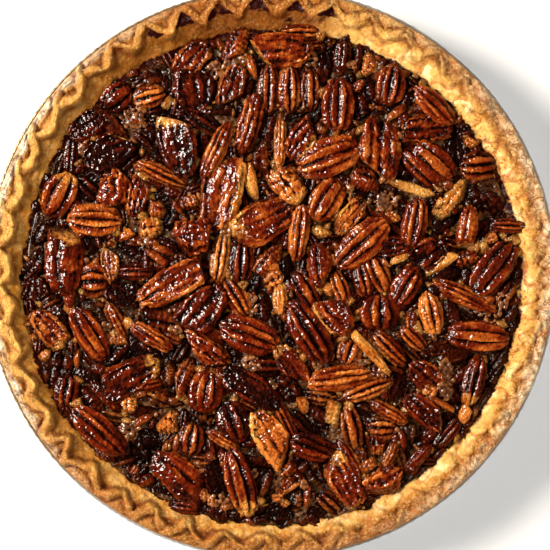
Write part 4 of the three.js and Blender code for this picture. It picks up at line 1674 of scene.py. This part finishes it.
# %% [markdown]
# ## The look of the nuts
# A roasted pecan has a thin skin, from near black to orange brown, and cream meat where it broke. The
# syrup on it is a clear amber coat, thick and dark in the furrows and where the nut is sunk in it. So the
# colour starts from the nut's own tone, is mottled, gets painted highlights on the crests and turns to
# meat where pale is high. The furrows and the low parts between the nuts are blackened last, by the
# stored relief and the height: dark syrup with painted shade. Gloss is a coat, which lets the skin under
# it stay rough, and its bump is lower than the skin's, because syrup levels what it covers.

# %% The colour of a nut's skin
# Below DRY_LEVEL a nut darkens with syrup and with painted shade between the nuts.
SUNK_LEVEL = 31.2 * MM            # a nut is black with syrup up to here
DRY_LEVEL = 34.6 * MM             # and free of it from here on

nutskin, recipe, shader = new_finish("glazed_nut")
grain = recipe.vector("grain")
patches, specks, _ = mottled(recipe, grain, 0.17, 0.8, 0.33, 0.68)
stands_out = recipe.number("relief")
bright = recipe.plus(recipe.number("tone"), recipe.ramp(patches, 0, 1, -0.28, 0.19))
# painted light: crests that stand out are lighter, furrows darker
bright = recipe.plus(bright, recipe.ramp(stands_out, -0.25, 0.55, -0.20, 0.22))
skin = recipe.blend(recipe.ramp(bright, 0.10, 0.5), (0.013, 0.0007, 0.0002), (0.165, 0.0135, 0.0013))
skin = recipe.blend(recipe.ramp(bright, 0.48, 1.05), skin, (0.72, 0.195, 0.030))
# painted highlight: the brightest crests turn pale tan
skin = recipe.blend(recipe.ramp(bright, 0.75, 1.10, 0, 0.6), skin, (0.82, 0.34, 0.095))
skin = recipe.blend(recipe.ramp(specks, 0.2, 1, 0, 0.28), skin, (0.040, 0.003, 0.0005))
ragged = recipe.ramp(recipe.noise(300.0, 4.0, 0.7), 0.3, 0.7, -0.45, 0.45)
cut = recipe.ramp(recipe.plus(recipe.number("pale"), ragged), 0.50, 0.95, 0, 0.9)
meat = recipe.blend(patches, (0.48, 0.135, 0.014), (0.82, 0.43, 0.115))
skin = recipe.blend(cut, skin, meat)
# dark syrup and painted shade in the furrows and low between the nuts
sunk_and_shaded = recipe.ramp(recipe.height(), SUNK_LEVEL, DRY_LEVEL, 1, 0)
syrup_and_painted_shade = recipe.maths("MAXIMUM", recipe.ramp(stands_out, -0.38, 0.0, 1, 0), sunk_and_shaded)
skin = recipe.blend(recipe.times(syrup_and_painted_shade, 0.97), skin, (0.004, 0.0008, 0.0003))

# %% The glaze over it
ribs = recipe.grainy(recipe.stretched(grain, (1.5, 0.7, 0.7)), 0.9, 1.0, 0.5)
recipe.fill(shader, {
    "Base Color": skin,
    "Roughness": recipe.ramp(patches, 0, 1, 0.42, 0.6),
    "Specular IOR Level": recipe.ramp(syrup_and_painted_shade, 0, 1, 0.05, 0.02),
    "Normal": recipe.bump(ribs, 1.8 * MM),
    "Coat Weight": recipe.ramp(syrup_and_painted_shade, 0, 1, 1.0, 0.2),
    "Coat Roughness": 0.07,
    "Coat IOR": 1.6,
    "Coat Tint": (1.0, 0.88, 0.66),
    "Coat Normal": recipe.bump(ribs, 0.6 * MM),
})
for obj in large_nuts + smaller_nuts:
    obj.data.materials.append(nutskin)
    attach(obj, "root")
